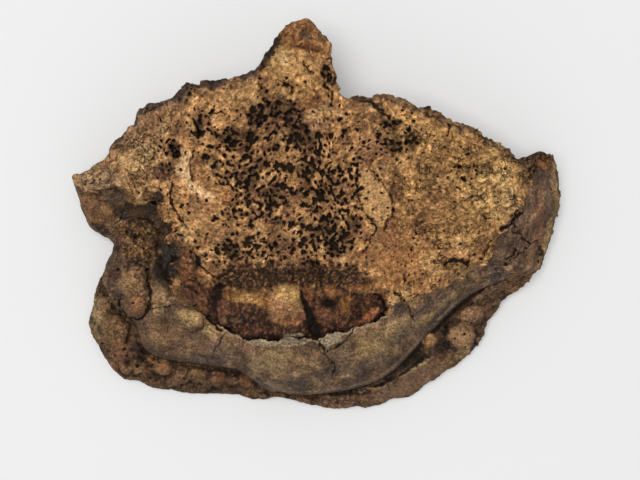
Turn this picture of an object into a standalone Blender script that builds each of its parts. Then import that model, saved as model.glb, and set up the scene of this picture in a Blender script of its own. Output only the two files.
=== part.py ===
"""A bracket fungus taken off its tree and laid on a table: one grown piece, old, dry and bored by insects.

The top is worked out as a height over a flat drawing of the fungus, as an eye straight above the table
sees it. Its pieces are the torn flesh in the middle, the crust round it, and the rim below the crust's lip.
The wall then runs down from the outline, under the overhang, to the flat underside that the fungus rests
on, and the back is cut flat where it grew on the wood.

Lengths are millimetres until the mesh is made, which is in metres. +X is to the right across the front,
+Y towards the back, where the wood was, and +Z up. The origin is under the middle of the fungus, on the
table.
"""

import bpy
import numpy as np

MM = 0.001

# Driving dimensions
EYE_HEIGHT = 600.0  # the drawing is what an eye this far above the table sees
ORIGIN_X, ORIGIN_Y = -0.9, 8.4  # the middle of the fungus, measured from the point below the eye
BACK_CUT_Y = 50.0  # the flat cut, measured like ORIGIN_Y
BACK_CUT_TOP = 26.0  # above this height the torn flesh hangs out over the cut
OVERHANG_REACH, OVERHANG_RISE = 50.0, 13.0  # it comes out this far in this much height, in a round belly
SHOULDER = 3.5  # how softly the top turns over into the wall
CRUST_STEP = 1.6  # the width of the broken edge of the crust
LIP_STEP = 2.2  # the width of the drop from the crust's lip to the rim
LIP_OVERHANG = 1.8  # how far the lip leans out over the rim
FOOT_INSET = 4.0  # the underside starts this far inside the outline, where the rim is thinnest
FOOT_LEAN = 0.33  # and so much further in for each millimetre of wall above it
BORE_DEPTH = 5.5  # the insects' holes
BORE_SPACING = 7.0

# Mesh
SPOKES, TOP_RINGS, WALL_RINGS, BASE_RINGS = 400, 170, 22, 8
TRIANGLES = 9200

# The drawing: where things are, in millimetres from the point below the eye.
OUTLINE = [
    (110, 2), (111.5, 8), (113.5, 13), (114.2, 20), (113.6, 27), (112.8, 34), (111, 39), (108, 40.6),
    (103, 39.6), (99.6, 37.6), (97, 38), (93, 38.6), (91.5, 41), (88, 43.2), (84, 46), (79, 48), (76, 51),
    (72, 53), (66, 55), (60, 57.5), (57, 60), (52, 62), (46, 63), (42, 66), (35, 68), (31, 69), (28, 68),
    (18, 68), (14, 66.5), (9.6, 69), (8, 73), (6.5, 80), (5, 88), (4.4, 92), (2.5, 96), (-1, 99.5),
    (-4, 103), (-9, 104.5), (-14, 101.6), (-17, 101), (-20, 96), (-24, 90), (-27.5, 84), (-29.5, 80.4),
    (-33, 79.5), (-40, 76.5), (-46, 76), (-54, 75), (-58, 73), (-61, 74), (-65, 71.5), (-70, 67.5),
    (-76, 65), (-83, 63), (-87, 60), (-88, 55), (-93, 50.5), (-98, 45), (-100, 41), (-104, 37),
    (-109, 33), (-114, 31), (-117.4, 29.6), (-115, 20), (-111.4, 10), (-109, 5.6), (-104.5, 2.6),
    (-99.6, 0), (-98.2, -3.5), (-101, -10), (-104, -17), (-107, -25), (-108.2, -32), (-109.8, -38),
    (-109, -43), (-105, -51), (-101, -58), (-97, -63), (-93, -66), (-87, -67), (-80, -70), (-70, -71.6),
    (-60, -73), (-50, -73), (-40, -73.6), (-35, -75), (-27, -76), (-22, -74.6), (-15, -75.6),
    (-8, -77.6), (0, -79.2), (6, -80), (13, -80), (18, -79), (20.5, -79.6), (28, -78.5), (35, -75.5),
    (40, -74.6), (45, -73), (50, -69), (56, -65), (64, -60), (70, -54.5), (76, -48.5), (78.4, -42),
    (80.4, -38), (84, -33), (88, -28), (94, -24), (98, -20.5), (103, -15), (106, -10), (108, -4),
]
# Inside this line the crust has broken away and the flesh shows.
TORN_EDGE = [
    (110, 36.5), (104, 35), (100, 28), (97, 22), (96, 17), (92, 11), (88, 6), (84, 3), (83, 0), (82, -5),
    (78.5, -9.5), (72, -12), (70, -16.5), (62, -19.5), (55, -21), (50, -24.5), (44, -29), (38.5, -30.5),
    (35.6, -32), (34, -36), (30, -37), (25, -39.4), (18, -41.5), (12, -43.6), (8, -44), (2, -46),
    (-5, -46.8), (-15, -47), (-25, -48), (-33, -47.5), (-40, -45), (-47, -41.6), (-52, -39.6),
    (-54.6, -36), (-57, -33), (-60, -31), (-66, -29), (-69.5, -24), (-70, -16), (-68.6, -8), (-68, 0),
    (-71, 5), (-75, 9.6), (-78.6, 16.6), (-89, 20.8), (-96, 20.4), (-108, 23.6), (-116, 28.6),
    (-113, 32.6), (-107.5, 35.6), (-100.5, 44), (-93, 53), (-88.6, 57.6), (-88, 61.6), (-76, 67.5),
    (-62, 76), (-40, 79), (-31, 82), (-21, 100), (-9, 107), (6, 98), (10, 72), (16, 70), (33, 71),
    (60, 60), (80, 50), (92, 43), (99, 40), (108, 41.6),
]
# Inside this line is the thick upper shelf. Its lip hangs over the rim, the thin youngest growth.
UPPER_SHELF = [
    (101, -16.6), (94, -17), (88, -18.6), (80, -22), (73, -26.6), (66, -32), (60, -38), (55, -43),
    (49.5, -48.6), (43, -55.6), (35, -62.4), (25, -67.4), (12, -71), (0, -72.6), (-10, -73.2),
    (-18, -72.2), (-26, -70.2), (-33, -65), (-40, -61), (-50, -59.6), (-60, -58), (-70, -57),
    (-79, -54.4), (-84, -50), (-86, -44), (-88, -38.4), (-94.6, -34.4), (-99, -28), (-102, -22),
    (-105, -14), (-104, -6), (-104, 0), (-113, 4), (-122, 30), (-104, 50), (-60, 90), (-8, 120),
    (60, 85), (118, 44), (118, 6), (110, -10),
]

# Heights of the flesh: (x, y, z) at places chosen over it
FLESH_LEVELS = [
    (-117, 30, 32), (-108, 27, 35), (-100, 41, 37), (-100, 30, 38), (-90, 50, 41), (-92, 24, 39),
    (-85, 35, 44), (-86, 60, 42), (-80, 20, 42), (-76, 48, 47), (-74, 65, 45), (-72, 30, 46),
    (-68, 5, 43), (-67, -8, 39), (-64, -18, 35), (-59, -29, 32), (-60, 50, 52), (-61, 73, 50),
    (-50, 10, 50), (-55, -2, 46), (-48, -15, 42), (-40, 35, 51), (-40, 60, 56), (-45, 75, 54),
    (-30, 78, 58), (-20, 50, 53), (-20, 20, 50), (-25, -6, 47), (-28, -15, 42), (0, 90, 50),
    (-10, 102, 48), (-24, 88, 52), (-10, 80, 60), (-5, 65, 60), (0, 45, 54), (0, 20, 50), (0, -5, 46),
    (0, -14, 41), (10, 60, 58), (12, 66, 56), (25, 25, 53), (20, 0, 47), (20, -14, 42), (30, 66, 56),
    (35, 45, 54), (45, 62, 53), (40, 15, 51), (35, -10, 47), (33, -24, 41), (39, -28, 39),
    (50, -20, 41), (60, 57, 49), (60, 30, 50), (60, 5, 48), (65, -14, 41), (75, 51, 44), (80, 35, 45),
    (80, 15, 44), (78, -5, 38), (92, 40, 36), (95, 25, 36), (92, 13, 36), (100, 35, 32), (107, 37, 30),
    (-42, -27, 41), (-26, -26, 44), (-14, -26, 44), (-48, -37, 31), (-36, -42, 31), (-15, -42, 31),
    (0, -25, 42), (0, -41, 32), (15, -28, 41), (26, -28, 41), (14, -39, 34), (27, -35, 36),
]
# Heights of the upper shelf's crust
CRUST_LEVELS = [
    (104, 36, 32), (110, 38, 27), (114, 20, 19), (105, 20, 28), (97, 14, 34), (112, 8, 18),
    (101, 0, 27), (90, 4, 34), (108, -5, 16), (98, -9, 24), (85, -3, 34), (101, -15, 17),
    (89, -14, 26), (80, -12, 33), (70, -18, 35), (74, -25, 27), (55, -24, 36), (63, -33, 28),
    (45, -31, 37), (53, -42, 29), (35, -38, 37), (43, -52, 29), (25, -42, 36), (34, -55, 32),
    (28, -63, 26), (15, -46, 36), (18, -57, 34), (12, -67, 26), (0, -48, 35), (1, -60, 33),
    (-2, -71, 25), (-15, -49, 34), (-15, -60, 36), (-15, -71, 26), (-33, -49, 32), (-31, -58, 31),
    (-38, -59, 26), (-48, -44, 31), (-50, -55, 26), (-57, -38, 31), (-62, -48, 29), (-65, -55, 23),
    (-70, -34, 29), (-75, -46, 27), (-83, -47, 22), (-79, -37, 27), (-77, -24, 27), (-92, -20, 26),
    (-90, -33, 24), (-102, -14, 18), (-100, -8, 17), (-99, -25, 20), (-95, -5, 20), (-88, -8, 22),
    (-84, 4, 24), (-99, 0, 16), (-80, -4, 20), (-74, -6, 14), (-73, -16, 17), (-71, 2, 20),
    (-109, 6, 13), (-101, 2, 14), (-112, 14, 17), (-116, 24, 25), (-104, 18, 27), (-96, 10, 20),
    (-95, 17, 31), (-88, 14, 26), (-82, 10, 25), (-80, 15, 33),
]
# Heights of the rim
RIM_LEVELS = [
    (-108, -28, 8), (-109, -42, 7), (-101, -30, 13), (-97, -42, 14), (-95, -52, 13), (-101, -57, 8),
    (-90, -62, 10), (-85, -55, 14), (-80, -68, 7), (-75, -60, 13), (-65, -62, 13), (-62, -71, 7),
    (-50, -62, 14), (-50, -71, 7), (-38, -66, 13), (-35, -73, 7), (-25, -74, 8), (-15, -74, 9),
    (0, -76, 10), (6, -78, 7), (15, -76, 11), (20, -78, 8), (20, -72, 13), (30, -71, 14), (30, -76, 8),
    (40, -64, 15), (42, -72, 8), (49, -60, 15), (50, -67, 9), (55, -50, 17), (60, -60, 10),
    (65, -45, 17), (70, -52, 10), (66, -36, 18), (77, -44, 10), (80, -37, 9), (75, -30, 18),
    (85, -30, 11), (85, -22, 18), (93, -23, 11), (98, -19, 12),
]

# Round lumps: (x, y, radius, height)
CRUST_LUMPS = [
    (-92, -19, 9.5, 4.2), (-90, -33, 6.5, 3.6), (-77, -24, 6, 2), (-62, -37, 7.5, 2), (-14, -60, 18, 3),
    (-86, 1, 5, 2), (-93, -8, 4.5, 2),
]
RIM_LUMPS = [
    (-98, -43, 5.5, 2.6), (-94, -54, 5.5, 2), (-87, -60, 3.6, 2.2), (-80, -56, 2.4, 2.2),
    (-75, -60.5, 4.8, 3), (-66, -65, 3.6, 1.6), (-58, -64.5, 4.4, 2.4), (-49, -65.5, 4.2, 2.2),
    (-42, -67, 2.6, 1.4), (-35, -66.5, 3.8, 2.2), (53, -47, 3.7, 3), (66, -45, 7, 3.4),
    (70, -35, 6, 2.2), (77, -32, 4, 1.2),
]
FLESH_LUMPS = [(65, -14.5, 5, 2.2), (-16, -31, 7, 3.5), (2, -30, 5, 3), (18, -33, 6, 3), (-36, -30, 8, 3)]

# Furrows and cracks: (path, width, depth)
FLESH_FURROWS = [
    ([(-47, -15), (-30, -14), (-10, -13), (8, -13), (22, -15)], 5.0, 4.0),
    ([(17.6, 33), (18, 22), (20.4, 14), (25, 8.6), (27, 5), (23.6, 0), (22, -6), (22.4, -12)], 1.2, 2.6),
    ([(-6.5, -24), (-7, -33), (-5, -42)], 2.4, 6.0),
    ([(5.5, -27), (6, -38)], 1.8, 4.0),
    ([(-49, -22), (-48, -32)], 2.6, 5.0),
    ([(28, -26), (30, -32), (29, -36)], 1.6, 4.5),
    ([(60, -10.4), (65, -9.6), (70, -11)], 1.4, 4.5),
    ([(40, -15), (40.4, -21)], 1.1, 3.0),
    ([(31, 32), (33, 24), (37, 15)], 1.6, 1.6),
    ([(19, 66.5), (26, 64), (33, 59)], 1.4, 2.6),
    ([(-60, 57), (-58, 53), (-57, 51)], 2.0, 5.0),
    ([(-73, 43), (-69.5, 41.5)], 2.4, 5.0),
    ([(-59, -6), (-57, -12), (-50, -18), (-42, -16), (-38, -11)], 1.6, 2.6),
]
CRUST_FURROWS = [
    ([(-91, -38), (-80, -33.4), (-72, -31), (-64, -28.6)], 0.9, 1.8),
    ([(-45, -45.6), (-48, -49), (-51, -52.6)], 0.9, 2.0),
    ([(-1, -48), (2.4, -53.4), (5, -57), (7, -60), (5.6, -64.6)], 1.2, 2.6),
    ([(16, -42.4), (11.6, -49.6), (3, -54)], 1.2, 2.4),
    ([(42, -30), (43, -34), (45.4, -37.6)], 0.9, 1.6),
    ([(90, 5), (95, 2), (99.4, -1.6), (103, 1.6)], 1.0, 1.8),
    ([(99.4, -1.6), (96, -6), (90, -10)], 1.0, 1.8),
    ([(-81.6, -14), (-82.4, -21), (-81, -29), (-84, -33)], 1.4, 2.6),
]

# Where the insects' holes crowd together: (x, y, radius across, radius along, how thick they are)
BORED_PATCHES = [
    (-14, 26, 42, 36, 1.0), (-22, 58, 16, 12, 0.9), (38, 46, 20, 12, 0.9), (-40, -4, 20, 9, 0.55),
    (-70, 40, 8, 8, 0.5), (-58, 55, 6, 6, 0.45), (66, 8, 34, 40, 0.25),
]


def smooth_step(value, start, end):
    """0 before start and 1 after end, with an S-shaped curve between them."""
    t = np.clip((value - start) / (end - start), 0, 1)
    return t * t * (3 - 2 * t)


def scattered(ix, iy, seed):
    """A number from 0 to 1 for each lattice point, always the same one."""
    mixed = ix.astype(np.int64) * 374761393 + iy.astype(np.int64) * 668265263 + seed * 974711
    mixed = (mixed ^ (mixed >> 13)) * 1274126177 & 0xFFFFFFFF
    return ((mixed ^ (mixed >> 16)) & 0xFFFF) / 0xFFFF


def rough(x, y, size, seed):
    """Soft random hills of about this size across, from -1 to 1."""
    u, v = x / size, y / size
    ix, iy = np.floor(u), np.floor(v)
    fu, fv = smooth_step(u - ix, 0, 1), smooth_step(v - iy, 0, 1)
    south = scattered(ix, iy, seed) * (1 - fu) + scattered(ix + 1, iy, seed) * fu
    north = scattered(ix, iy + 1, seed) * (1 - fu) + scattered(ix + 1, iy + 1, seed) * fu
    return 2 * (south * (1 - fv) + north * fv) - 1


def layered_rough(x, y, size, seed, layers=3):
    """Hills on hills: each layer is half the size and half the height of the one before."""
    return sum(rough(x, y, size / 2**k, seed + k) / 2**k for k in range(layers))


def curve_through(points, closed, per_span=5):
    """Points along a smooth Catmull-Rom curve through the given ones."""
    p = np.array(points, float)
    ends = (p[-1:], p[:2]) if closed else (2 * p[:1] - p[1:2], 2 * p[-1:] - p[-2:-1])
    p = np.concatenate([ends[0], p, ends[1]])
    a, b, c, d = p[:-3, None], p[1:-2, None], p[2:-1, None], p[3:, None]
    t = (np.arange(per_span) / per_span)[None, :, None]
    bend = 2 * a - 5 * b + 4 * c - d
    whole = 0.5 * (2 * b + (c - a) * t + bend * t**2 + (3 * b - a - 3 * c + d) * t**3)
    line = whole.reshape(-1, 2)
    return line if closed else np.concatenate([line, p[-2:-1]])


def distance_to(line, x, y):
    """How far each place is from a line of points."""
    nearest = np.full(x.shape, np.inf)
    for (ax, ay), (bx, by) in zip(line[:-1], line[1:], strict=True):
        dx, dy = bx - ax, by - ay
        t = np.clip(((x - ax) * dx + (y - ay) * dy) / (dx * dx + dy * dy + 1e-12), 0, 1)
        nearest = np.minimum(nearest, np.hypot(x - ax - t * dx, y - ay - t * dy))
    return nearest


def depth_inside(line, x, y):
    """How far each place is inside a closed line of points, and below 0 outside it."""
    ring = np.concatenate([line, line[:1]])
    inside = np.zeros(x.shape, bool)
    for (ax, ay), (bx, by) in zip(ring[:-1], ring[1:], strict=True):
        crosses = (ay > y) != (by > y)
        at = ax + (y - ay) * (bx - ax) / (by - ay if by != ay else 1e-12)
        inside ^= crosses & (x < at)
    return np.where(inside, 1, -1) * distance_to(ring, x, y)


def surface_through(levels):
    """A smooth surface through the given heights, as a function of x and y (multiquadric splines)."""
    px, py, pz = np.array(levels, float).T
    softness = 6.0

    def waves(x, y):
        reach = np.sqrt((x[..., None] - px) ** 2 + (y[..., None] - py) ** 2 + softness**2)
        return np.concatenate([reach, np.ones(x.shape + (1,)), x[..., None], y[..., None]], -1)

    n = len(px)
    system = np.zeros((n + 3, n + 3))
    system[:n] = waves(px, py)
    system[n:, :n] = waves(px, py)[:, n:].T
    weights = np.linalg.solve(system, np.concatenate([pz, np.zeros(3)]))
    return lambda x, y: waves(x, y) @ weights


def lumps(places, x, y):
    """Round swellings, highest where they overlap."""
    total = np.zeros(x.shape)
    for cx, cy, radius, height in places:
        across = np.hypot(x - cx, y - cy) / radius
        total = np.maximum(total, height * np.sqrt(np.clip(1 - across**2, 0, 1)))
    return total


def furrows(paths, x, y, grid_step):
    """Grooves along smooth lines, never narrower than the mesh can show."""
    total = np.zeros(x.shape)
    for path, width, depth in paths:
        away = distance_to(curve_through(path, closed=False), x, y)
        total = np.maximum(total, depth * (1 - smooth_step(away, 0, max(width, grid_step))))
    return total


def crowding(x, y):
    """How thickly the insects have bored each place, from 0 to 1."""
    crowd = np.zeros(x.shape)
    for cx, cy, across, along, thick in BORED_PATCHES:
        away = ((x - cx) / across) ** 2 + ((y - cy) / along) ** 2
        crowd = np.maximum(crowd, thick * np.exp(-(away**2)))
    return crowd


def bored(x, y, spacing, seed):
    """The insects' holes, from 0 to 1: a round pit in each crowded square of a jittered lattice."""
    ix, iy = np.floor(x / spacing), np.floor(y / spacing)
    deepest = np.zeros(x.shape)
    for jx, jy in [(ix + i, iy + j) for i in (-1, 0, 1) for j in (-1, 0, 1)]:
        cx = (jx + 0.1 + 0.8 * scattered(jx, jy, seed)) * spacing
        cy = (jy + 0.1 + 0.8 * scattered(jx, jy, seed + 1)) * spacing
        radius = spacing * (0.22 + 0.2 * scattered(jx, jy, seed + 2))
        away = np.hypot(x - cx, y - cy)
        here = scattered(jx, jy, seed + 3) < crowding(cx, cy)
        deepest = np.maximum(deepest, here * (1 - smooth_step(away, 0.4 * radius, radius)))
    return deepest


flesh_level = surface_through(FLESH_LEVELS)
crust_level = surface_through(CRUST_LEVELS)
rim_level = surface_through(RIM_LEVELS)
outline = curve_through(OUTLINE, closed=True)
torn_edge = curve_through(TORN_EDGE, closed=True)
upper_shelf = curve_through(UPPER_SHELF, closed=True)


def flesh_height(x, y, inside):
    """The torn flesh: hills, fibrous lumps, furrows and holes. It sinks a little beside the crust."""
    front = smooth_step(-y, -10, 40)
    return (
        flesh_level(x, y)
        + lumps(FLESH_LUMPS, x, y)
        - furrows(FLESH_FURROWS, x, y, 1.6)
        - BORE_DEPTH * bored(x, y, BORE_SPACING, 40)
        + 1.1 * layered_rough(x, y, 11, 3, 4)
        - front * 3.0 * (1 - smooth_step(inside, 0, 4))
    )


def shelf_height(x, y):
    """The crust of the upper shelf: smooth, with lumps and cracks."""
    return (
        crust_level(x, y)
        + lumps(CRUST_LUMPS, x, y)
        - furrows(CRUST_FURROWS, x, y, 1.4)
        + 0.5 * layered_rough(x, y, 14, 11, 2)
    )


def rim_height(x, y, lip):
    """The rim: lumpy, with a crevice where the shelf's lip hangs over it."""
    crevice = 2.6 * (1 - smooth_step(np.abs(lip + 1.2), 0, 2.2))
    return rim_level(x, y) + lumps(RIM_LUMPS, x, y) - crevice + 0.7 * layered_rough(x, y, 7, 21, 3)


def top_height(x, y):
    """The height of the top at each place of the drawing."""
    inside = depth_inside(torn_edge, x, y)
    lip = depth_inside(upper_shelf, x, y)
    on_shelf = smooth_step(lip, -LIP_STEP / 2, LIP_STEP / 2)
    crust = on_shelf * shelf_height(x, y) + (1 - on_shelf) * rim_height(x, y, lip)
    torn = smooth_step(inside, -CRUST_STEP / 2, CRUST_STEP / 2)
    return torn * flesh_height(x, y, inside) + (1 - torn) * crust


def true_place(x, y, z):
    """From the drawing to the real place: what is nearer the eye looks larger than it is."""
    nearer = 1 - z / EYE_HEIGHT
    return np.stack([x * nearer - ORIGIN_X, y * nearer - ORIGIN_Y, z], -1)


def spread_rings(count):
    """Fractions from the middle to the outline, closer together near the outline."""
    t = np.arange(1, count + 1) / count
    return 0.7 * t + 0.3 * np.sin(t * np.pi / 2)


def outline_radius(angle):
    """The distance from the middle to the outline in each direction."""
    at = np.arctan2(outline[:, 1], outline[:, 0])
    order = np.argsort(at)
    return np.interp(angle, at[order], np.hypot(*outline[order].T), period=2 * np.pi)


def top_rings(angle, edge):
    """Rings of the top, from the middle out, with the lip pushed out over the rim."""
    share = spread_rings(TOP_RINGS)[:, None]
    x, y = share * edge * np.cos(angle), share * edge * np.sin(angle)
    z = top_height(x, y)
    to_edge = (1 - share) * edge
    z = z - SHOULDER * (1 - np.sqrt(1 - np.clip(1 - to_edge / SHOULDER, 0, 1) ** 2)) * 0.7
    lip = depth_inside(upper_shelf, x, y)
    push = LIP_OVERHANG * np.exp(-((lip / LIP_STEP) ** 2)) * smooth_step(z, 8, 24) * smooth_step(to_edge, 0, 6)
    return true_place(x + push * np.cos(angle), y + push * np.sin(angle), z)


def wall_rings(angle, edge, edge_height):
    """Rings of the wall, from the outline down and in under it. The back is cut flat below the overhang."""
    down = np.arange(1, WALL_RINGS + 1)[:, None] / WALL_RINGS
    z = edge_height * (1 - down)
    inset = (FOOT_INSET + FOOT_LEAN * edge_height) * down**1.7
    ragged = 1.6 * layered_rough(angle * edge, z + 300, 9, 31, 3) * np.sin(down * np.pi) ** 0.5
    radius = edge - inset + ragged * smooth_step(edge_height, 6, 30)
    rings = true_place(radius * np.cos(angle), radius * np.sin(angle), z)
    belly = np.sqrt(np.maximum(z - BACK_CUT_TOP, 0) / OVERHANG_RISE)
    reach = BACK_CUT_Y - ORIGIN_Y + OVERHANG_REACH * belly
    rings[..., 1] = np.minimum(rings[..., 1], reach)
    return rings


def fungus_mesh():
    """Rings from the top's middle, out to the outline, down the wall and in again under the fungus."""
    angle = np.arange(SPOKES) * 2 * np.pi / SPOKES
    edge = outline_radius(angle)
    top = top_rings(angle, edge)
    wall = wall_rings(angle, edge, top[-1, :, 2])
    inward = 1 - np.arange(1, BASE_RINGS + 1)[:, None, None] / (BASE_RINGS + 1)
    base = wall[-1] * inward
    rings = np.concatenate([top, wall, base])
    centre_top = true_place(*(np.array([v]) for v in (0.0, 0.0, top[0, :, 2].mean())))
    centre_base = np.zeros((1, 3))
    points = np.concatenate([rings.reshape(-1, 3), centre_top, centre_base])

    across = np.arange(SPOKES)
    after = (across + 1) % SPOKES
    start = (np.arange(len(rings) - 1) * SPOKES)[:, None]
    corners = [start + across, start + SPOKES + across, start + SPOKES + after, start + after]
    quads = np.stack(corners, -1).reshape(-1, 4)
    last = (len(rings) - 1) * SPOKES
    top_fan = np.stack([np.full(SPOKES, rings.size // 3), across, after], -1)
    base_fan = np.stack([np.full(SPOKES, rings.size // 3 + 1), last + after, last + across], -1)
    mesh = bpy.data.meshes.new("bracket")
    mesh.from_pydata((points * MM).tolist(), [], [*quads.tolist(), *top_fan.tolist(), *base_fan.tolist()])
    mesh.validate()
    return mesh


def dry_flesh():
    """Old corky flesh: tan brown and quite matt."""
    material = bpy.data.materials.new("dry_flesh")
    material.use_nodes = True
    shader = material.node_tree.nodes["Principled BSDF"]
    shader.inputs["Base Color"].default_value = (0.30, 0.19, 0.10, 1)
    shader.inputs["Roughness"].default_value = 0.9
    shader.inputs["Metallic"].default_value = 0.0
    return material


def main():
    for old in list(bpy.data.objects):
        bpy.data.objects.remove(old, do_unlink=True)
    mesh = fungus_mesh()
    mesh.materials.append(dry_flesh())
    mesh.shade_smooth()
    bracket = bpy.data.objects.new("bracket", mesh)
    bpy.context.scene.collection.objects.link(bracket)
    coarser = bracket.modifiers.new("coarser", "DECIMATE")
    coarser.ratio = TRIANGLES / sum(len(face.vertices) - 2 for face in mesh.polygons)


main()
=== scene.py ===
# %% [markdown]
# # An old bracket fungus
# A bracket fungus grows out of a tree as a shelf. This one is old, dry and weathered. Its hard crust has
# broken away over the middle and the back, and shows tan, corky flesh that insects have bored full of
# holes. In front the crust is whole, and its lip hangs over a lumpy, thinner rim.
#
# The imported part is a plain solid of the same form. Here it is replaced by four pieces with the fine
# detail: the torn flesh in two halves, the crust of the upper shelf, and the body with its rim, wall and
# underside.

import functools

import bpy
import numpy as np
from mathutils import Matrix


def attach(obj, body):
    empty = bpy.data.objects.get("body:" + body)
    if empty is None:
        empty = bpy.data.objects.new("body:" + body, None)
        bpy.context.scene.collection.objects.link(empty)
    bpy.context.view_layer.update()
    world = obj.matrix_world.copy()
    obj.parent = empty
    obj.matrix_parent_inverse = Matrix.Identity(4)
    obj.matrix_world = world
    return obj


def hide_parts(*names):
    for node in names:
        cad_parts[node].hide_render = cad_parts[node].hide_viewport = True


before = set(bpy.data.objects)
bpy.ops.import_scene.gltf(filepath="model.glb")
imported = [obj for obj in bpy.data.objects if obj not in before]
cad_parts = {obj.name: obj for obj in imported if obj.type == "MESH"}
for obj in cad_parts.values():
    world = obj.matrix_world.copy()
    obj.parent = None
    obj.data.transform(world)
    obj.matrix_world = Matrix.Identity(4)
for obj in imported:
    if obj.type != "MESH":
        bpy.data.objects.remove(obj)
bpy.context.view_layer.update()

# %% [markdown]
# ## From a drawing to the real place
# The fungus was drawn as an eye straight above the table sees it. What is nearer that eye looks larger
# than it is, so every place in the drawing is pulled towards the point below the eye, in step with its
# height. All lengths are millimetres until a mesh is made. The numbers are the same as in the part's
# source, but the crust's lip is drawn in by up to 1.8 mm on the right.

# %% Named sizes
MM = 0.001
EYE_HEIGHT = 600.0
ORIGIN_X, ORIGIN_Y = -0.9, 8.4  # the middle of the fungus, measured from the point below the eye
BACK_CUT_Y, BACK_CUT_TOP = 50.0, 26.0  # where the flat cut is, and how high it goes
OVERHANG_REACH, OVERHANG_RISE = 50.0, 13.0  # the flesh comes out so far over the cut in so much height
SHOULDER = 3.5  # how softly the top turns over into the wall
FOOT_INSET, FOOT_LEAN = 4.0, 0.33  # the wall ends so far in, and a share of its height more


def true_place(x, y, z):
    """From the drawing to the real place: x and y shrink by the share of the way up to the eye."""
    nearer = 1 - z / EYE_HEIGHT
    return np.stack([x * nearer - ORIGIN_X, y * nearer - ORIGIN_Y, z], -1)


# %% [markdown]
# ## The lines of the drawing
# Three closed lines part the surface. The outline is the edge of the whole fungus. Inside the torn edge
# the crust is gone. Inside the upper shelf's line lies the thick shelf, and outside it the younger rim.
# A Catmull-Rom curve makes each a smooth line through a few given points.

# %% Outline, torn edge and upper shelf
OUTLINE = [
    (110, 2), (111.5, 8), (113.5, 13), (114.2, 20), (113.6, 27), (112.8, 34), (111, 39), (108, 40.6),
    (103, 39.6), (99.6, 37.6), (97, 38), (93, 38.6), (91.5, 41), (88, 43.2), (84, 46), (79, 48), (76, 51),
    (72, 53), (66, 55), (60, 57.5), (57, 60), (52, 62), (46, 63), (42, 66), (35, 68), (31, 69), (28, 68),
    (18, 68), (14, 66.5), (9.6, 69), (8, 73), (6.5, 80), (5, 88), (4.4, 92), (2.5, 96), (-1, 99.5),
    (-4, 103), (-9, 104.5), (-14, 101.6), (-17, 101), (-20, 96), (-24, 90), (-27.5, 84), (-29.5, 80.4),
    (-33, 79.5), (-40, 76.5), (-46, 76), (-54, 75), (-58, 73), (-61, 74), (-65, 71.5), (-70, 67.5),
    (-76, 65), (-83, 63), (-87, 60), (-88, 55), (-93, 50.5), (-98, 45), (-100, 41), (-104, 37), (-109, 33),
    (-114, 31), (-117.4, 29.6), (-115, 20), (-111.4, 10), (-109, 5.6), (-104.5, 2.6), (-99.6, 0),
    (-98.2, -3.5), (-101, -10), (-104, -17), (-107, -25), (-108.2, -32), (-109.8, -38), (-109, -43),
    (-105, -51), (-101, -58), (-97, -63), (-93, -66), (-87, -67), (-80, -70), (-70, -71.6), (-60, -73),
    (-50, -73), (-40, -73.6), (-35, -75), (-27, -76), (-22, -74.6), (-15, -75.6), (-8, -77.6), (0, -79.2),
    (6, -80), (13, -80), (18, -79), (20.5, -79.6), (28, -78.5), (35, -75.5), (40, -74.6), (45, -73),
    (50, -69), (56, -65), (64, -60), (70, -54.5), (76, -48.5), (78.4, -42), (80.4, -38), (84, -33),
    (88, -28), (94, -24), (98, -20.5), (103, -15), (106, -10), (108, -4),
]
TORN_EDGE = [
    (110, 36.5), (104, 35), (100, 28), (97, 22), (96, 17), (92, 11), (88, 6), (84, 3), (83, 0), (82, -5),
    (78.5, -9.5), (72, -12), (70, -16.5), (62, -19.5), (55, -21), (50, -24.5), (44, -29), (38.5, -30.5),
    (35.6, -32), (34, -36), (30, -37), (25, -39.4), (18, -41.5), (12, -43.6), (8, -44), (2, -46),
    (-5, -46.8), (-15, -47), (-25, -48), (-33, -47.5), (-40, -45), (-47, -41.6), (-52, -39.6), (-54.6, -36),
    (-57, -33), (-60, -31), (-66, -29), (-69.5, -24), (-70, -16), (-68.6, -8), (-68, 0), (-71, 5),
    (-75, 9.6), (-78.6, 16.6), (-89, 20.8), (-96, 20.4), (-108, 23.6), (-116, 28.6), (-113, 32.6),
    (-107.5, 35.6), (-100.5, 44), (-93, 53), (-88.6, 57.6), (-88, 61.6), (-76, 67.5), (-62, 76), (-40, 79),
    (-31, 82), (-21, 100), (-9, 107), (6, 98), (10, 72), (16, 70), (33, 71), (60, 60), (80, 50), (92, 43),
    (99, 40), (108, 41.6),
]
UPPER_SHELF = [
    (101, -16.6), (94, -17), (88, -18.6), (80, -22), (73, -26.6), (66, -32), (60, -38), (55, -43),
    (49.5, -48.6), (43, -55.6), (35, -62.4), (25, -67.4), (12, -71), (0, -72.6), (-10, -73.2), (-18, -72.2),
    (-26, -70.2), (-33, -65), (-40, -61), (-50, -59.6), (-60, -58), (-70, -57), (-79, -54.4), (-84, -50),
    (-86, -44), (-88, -38.4), (-94.6, -34.4), (-99, -28), (-102, -22), (-105, -14), (-104, -6), (-104, 0),
    (-113, 4), (-122, 30), (-104, 50), (-60, 90), (-8, 120), (60, 85), (118, 44), (118, 6), (110, -10),
]


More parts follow.
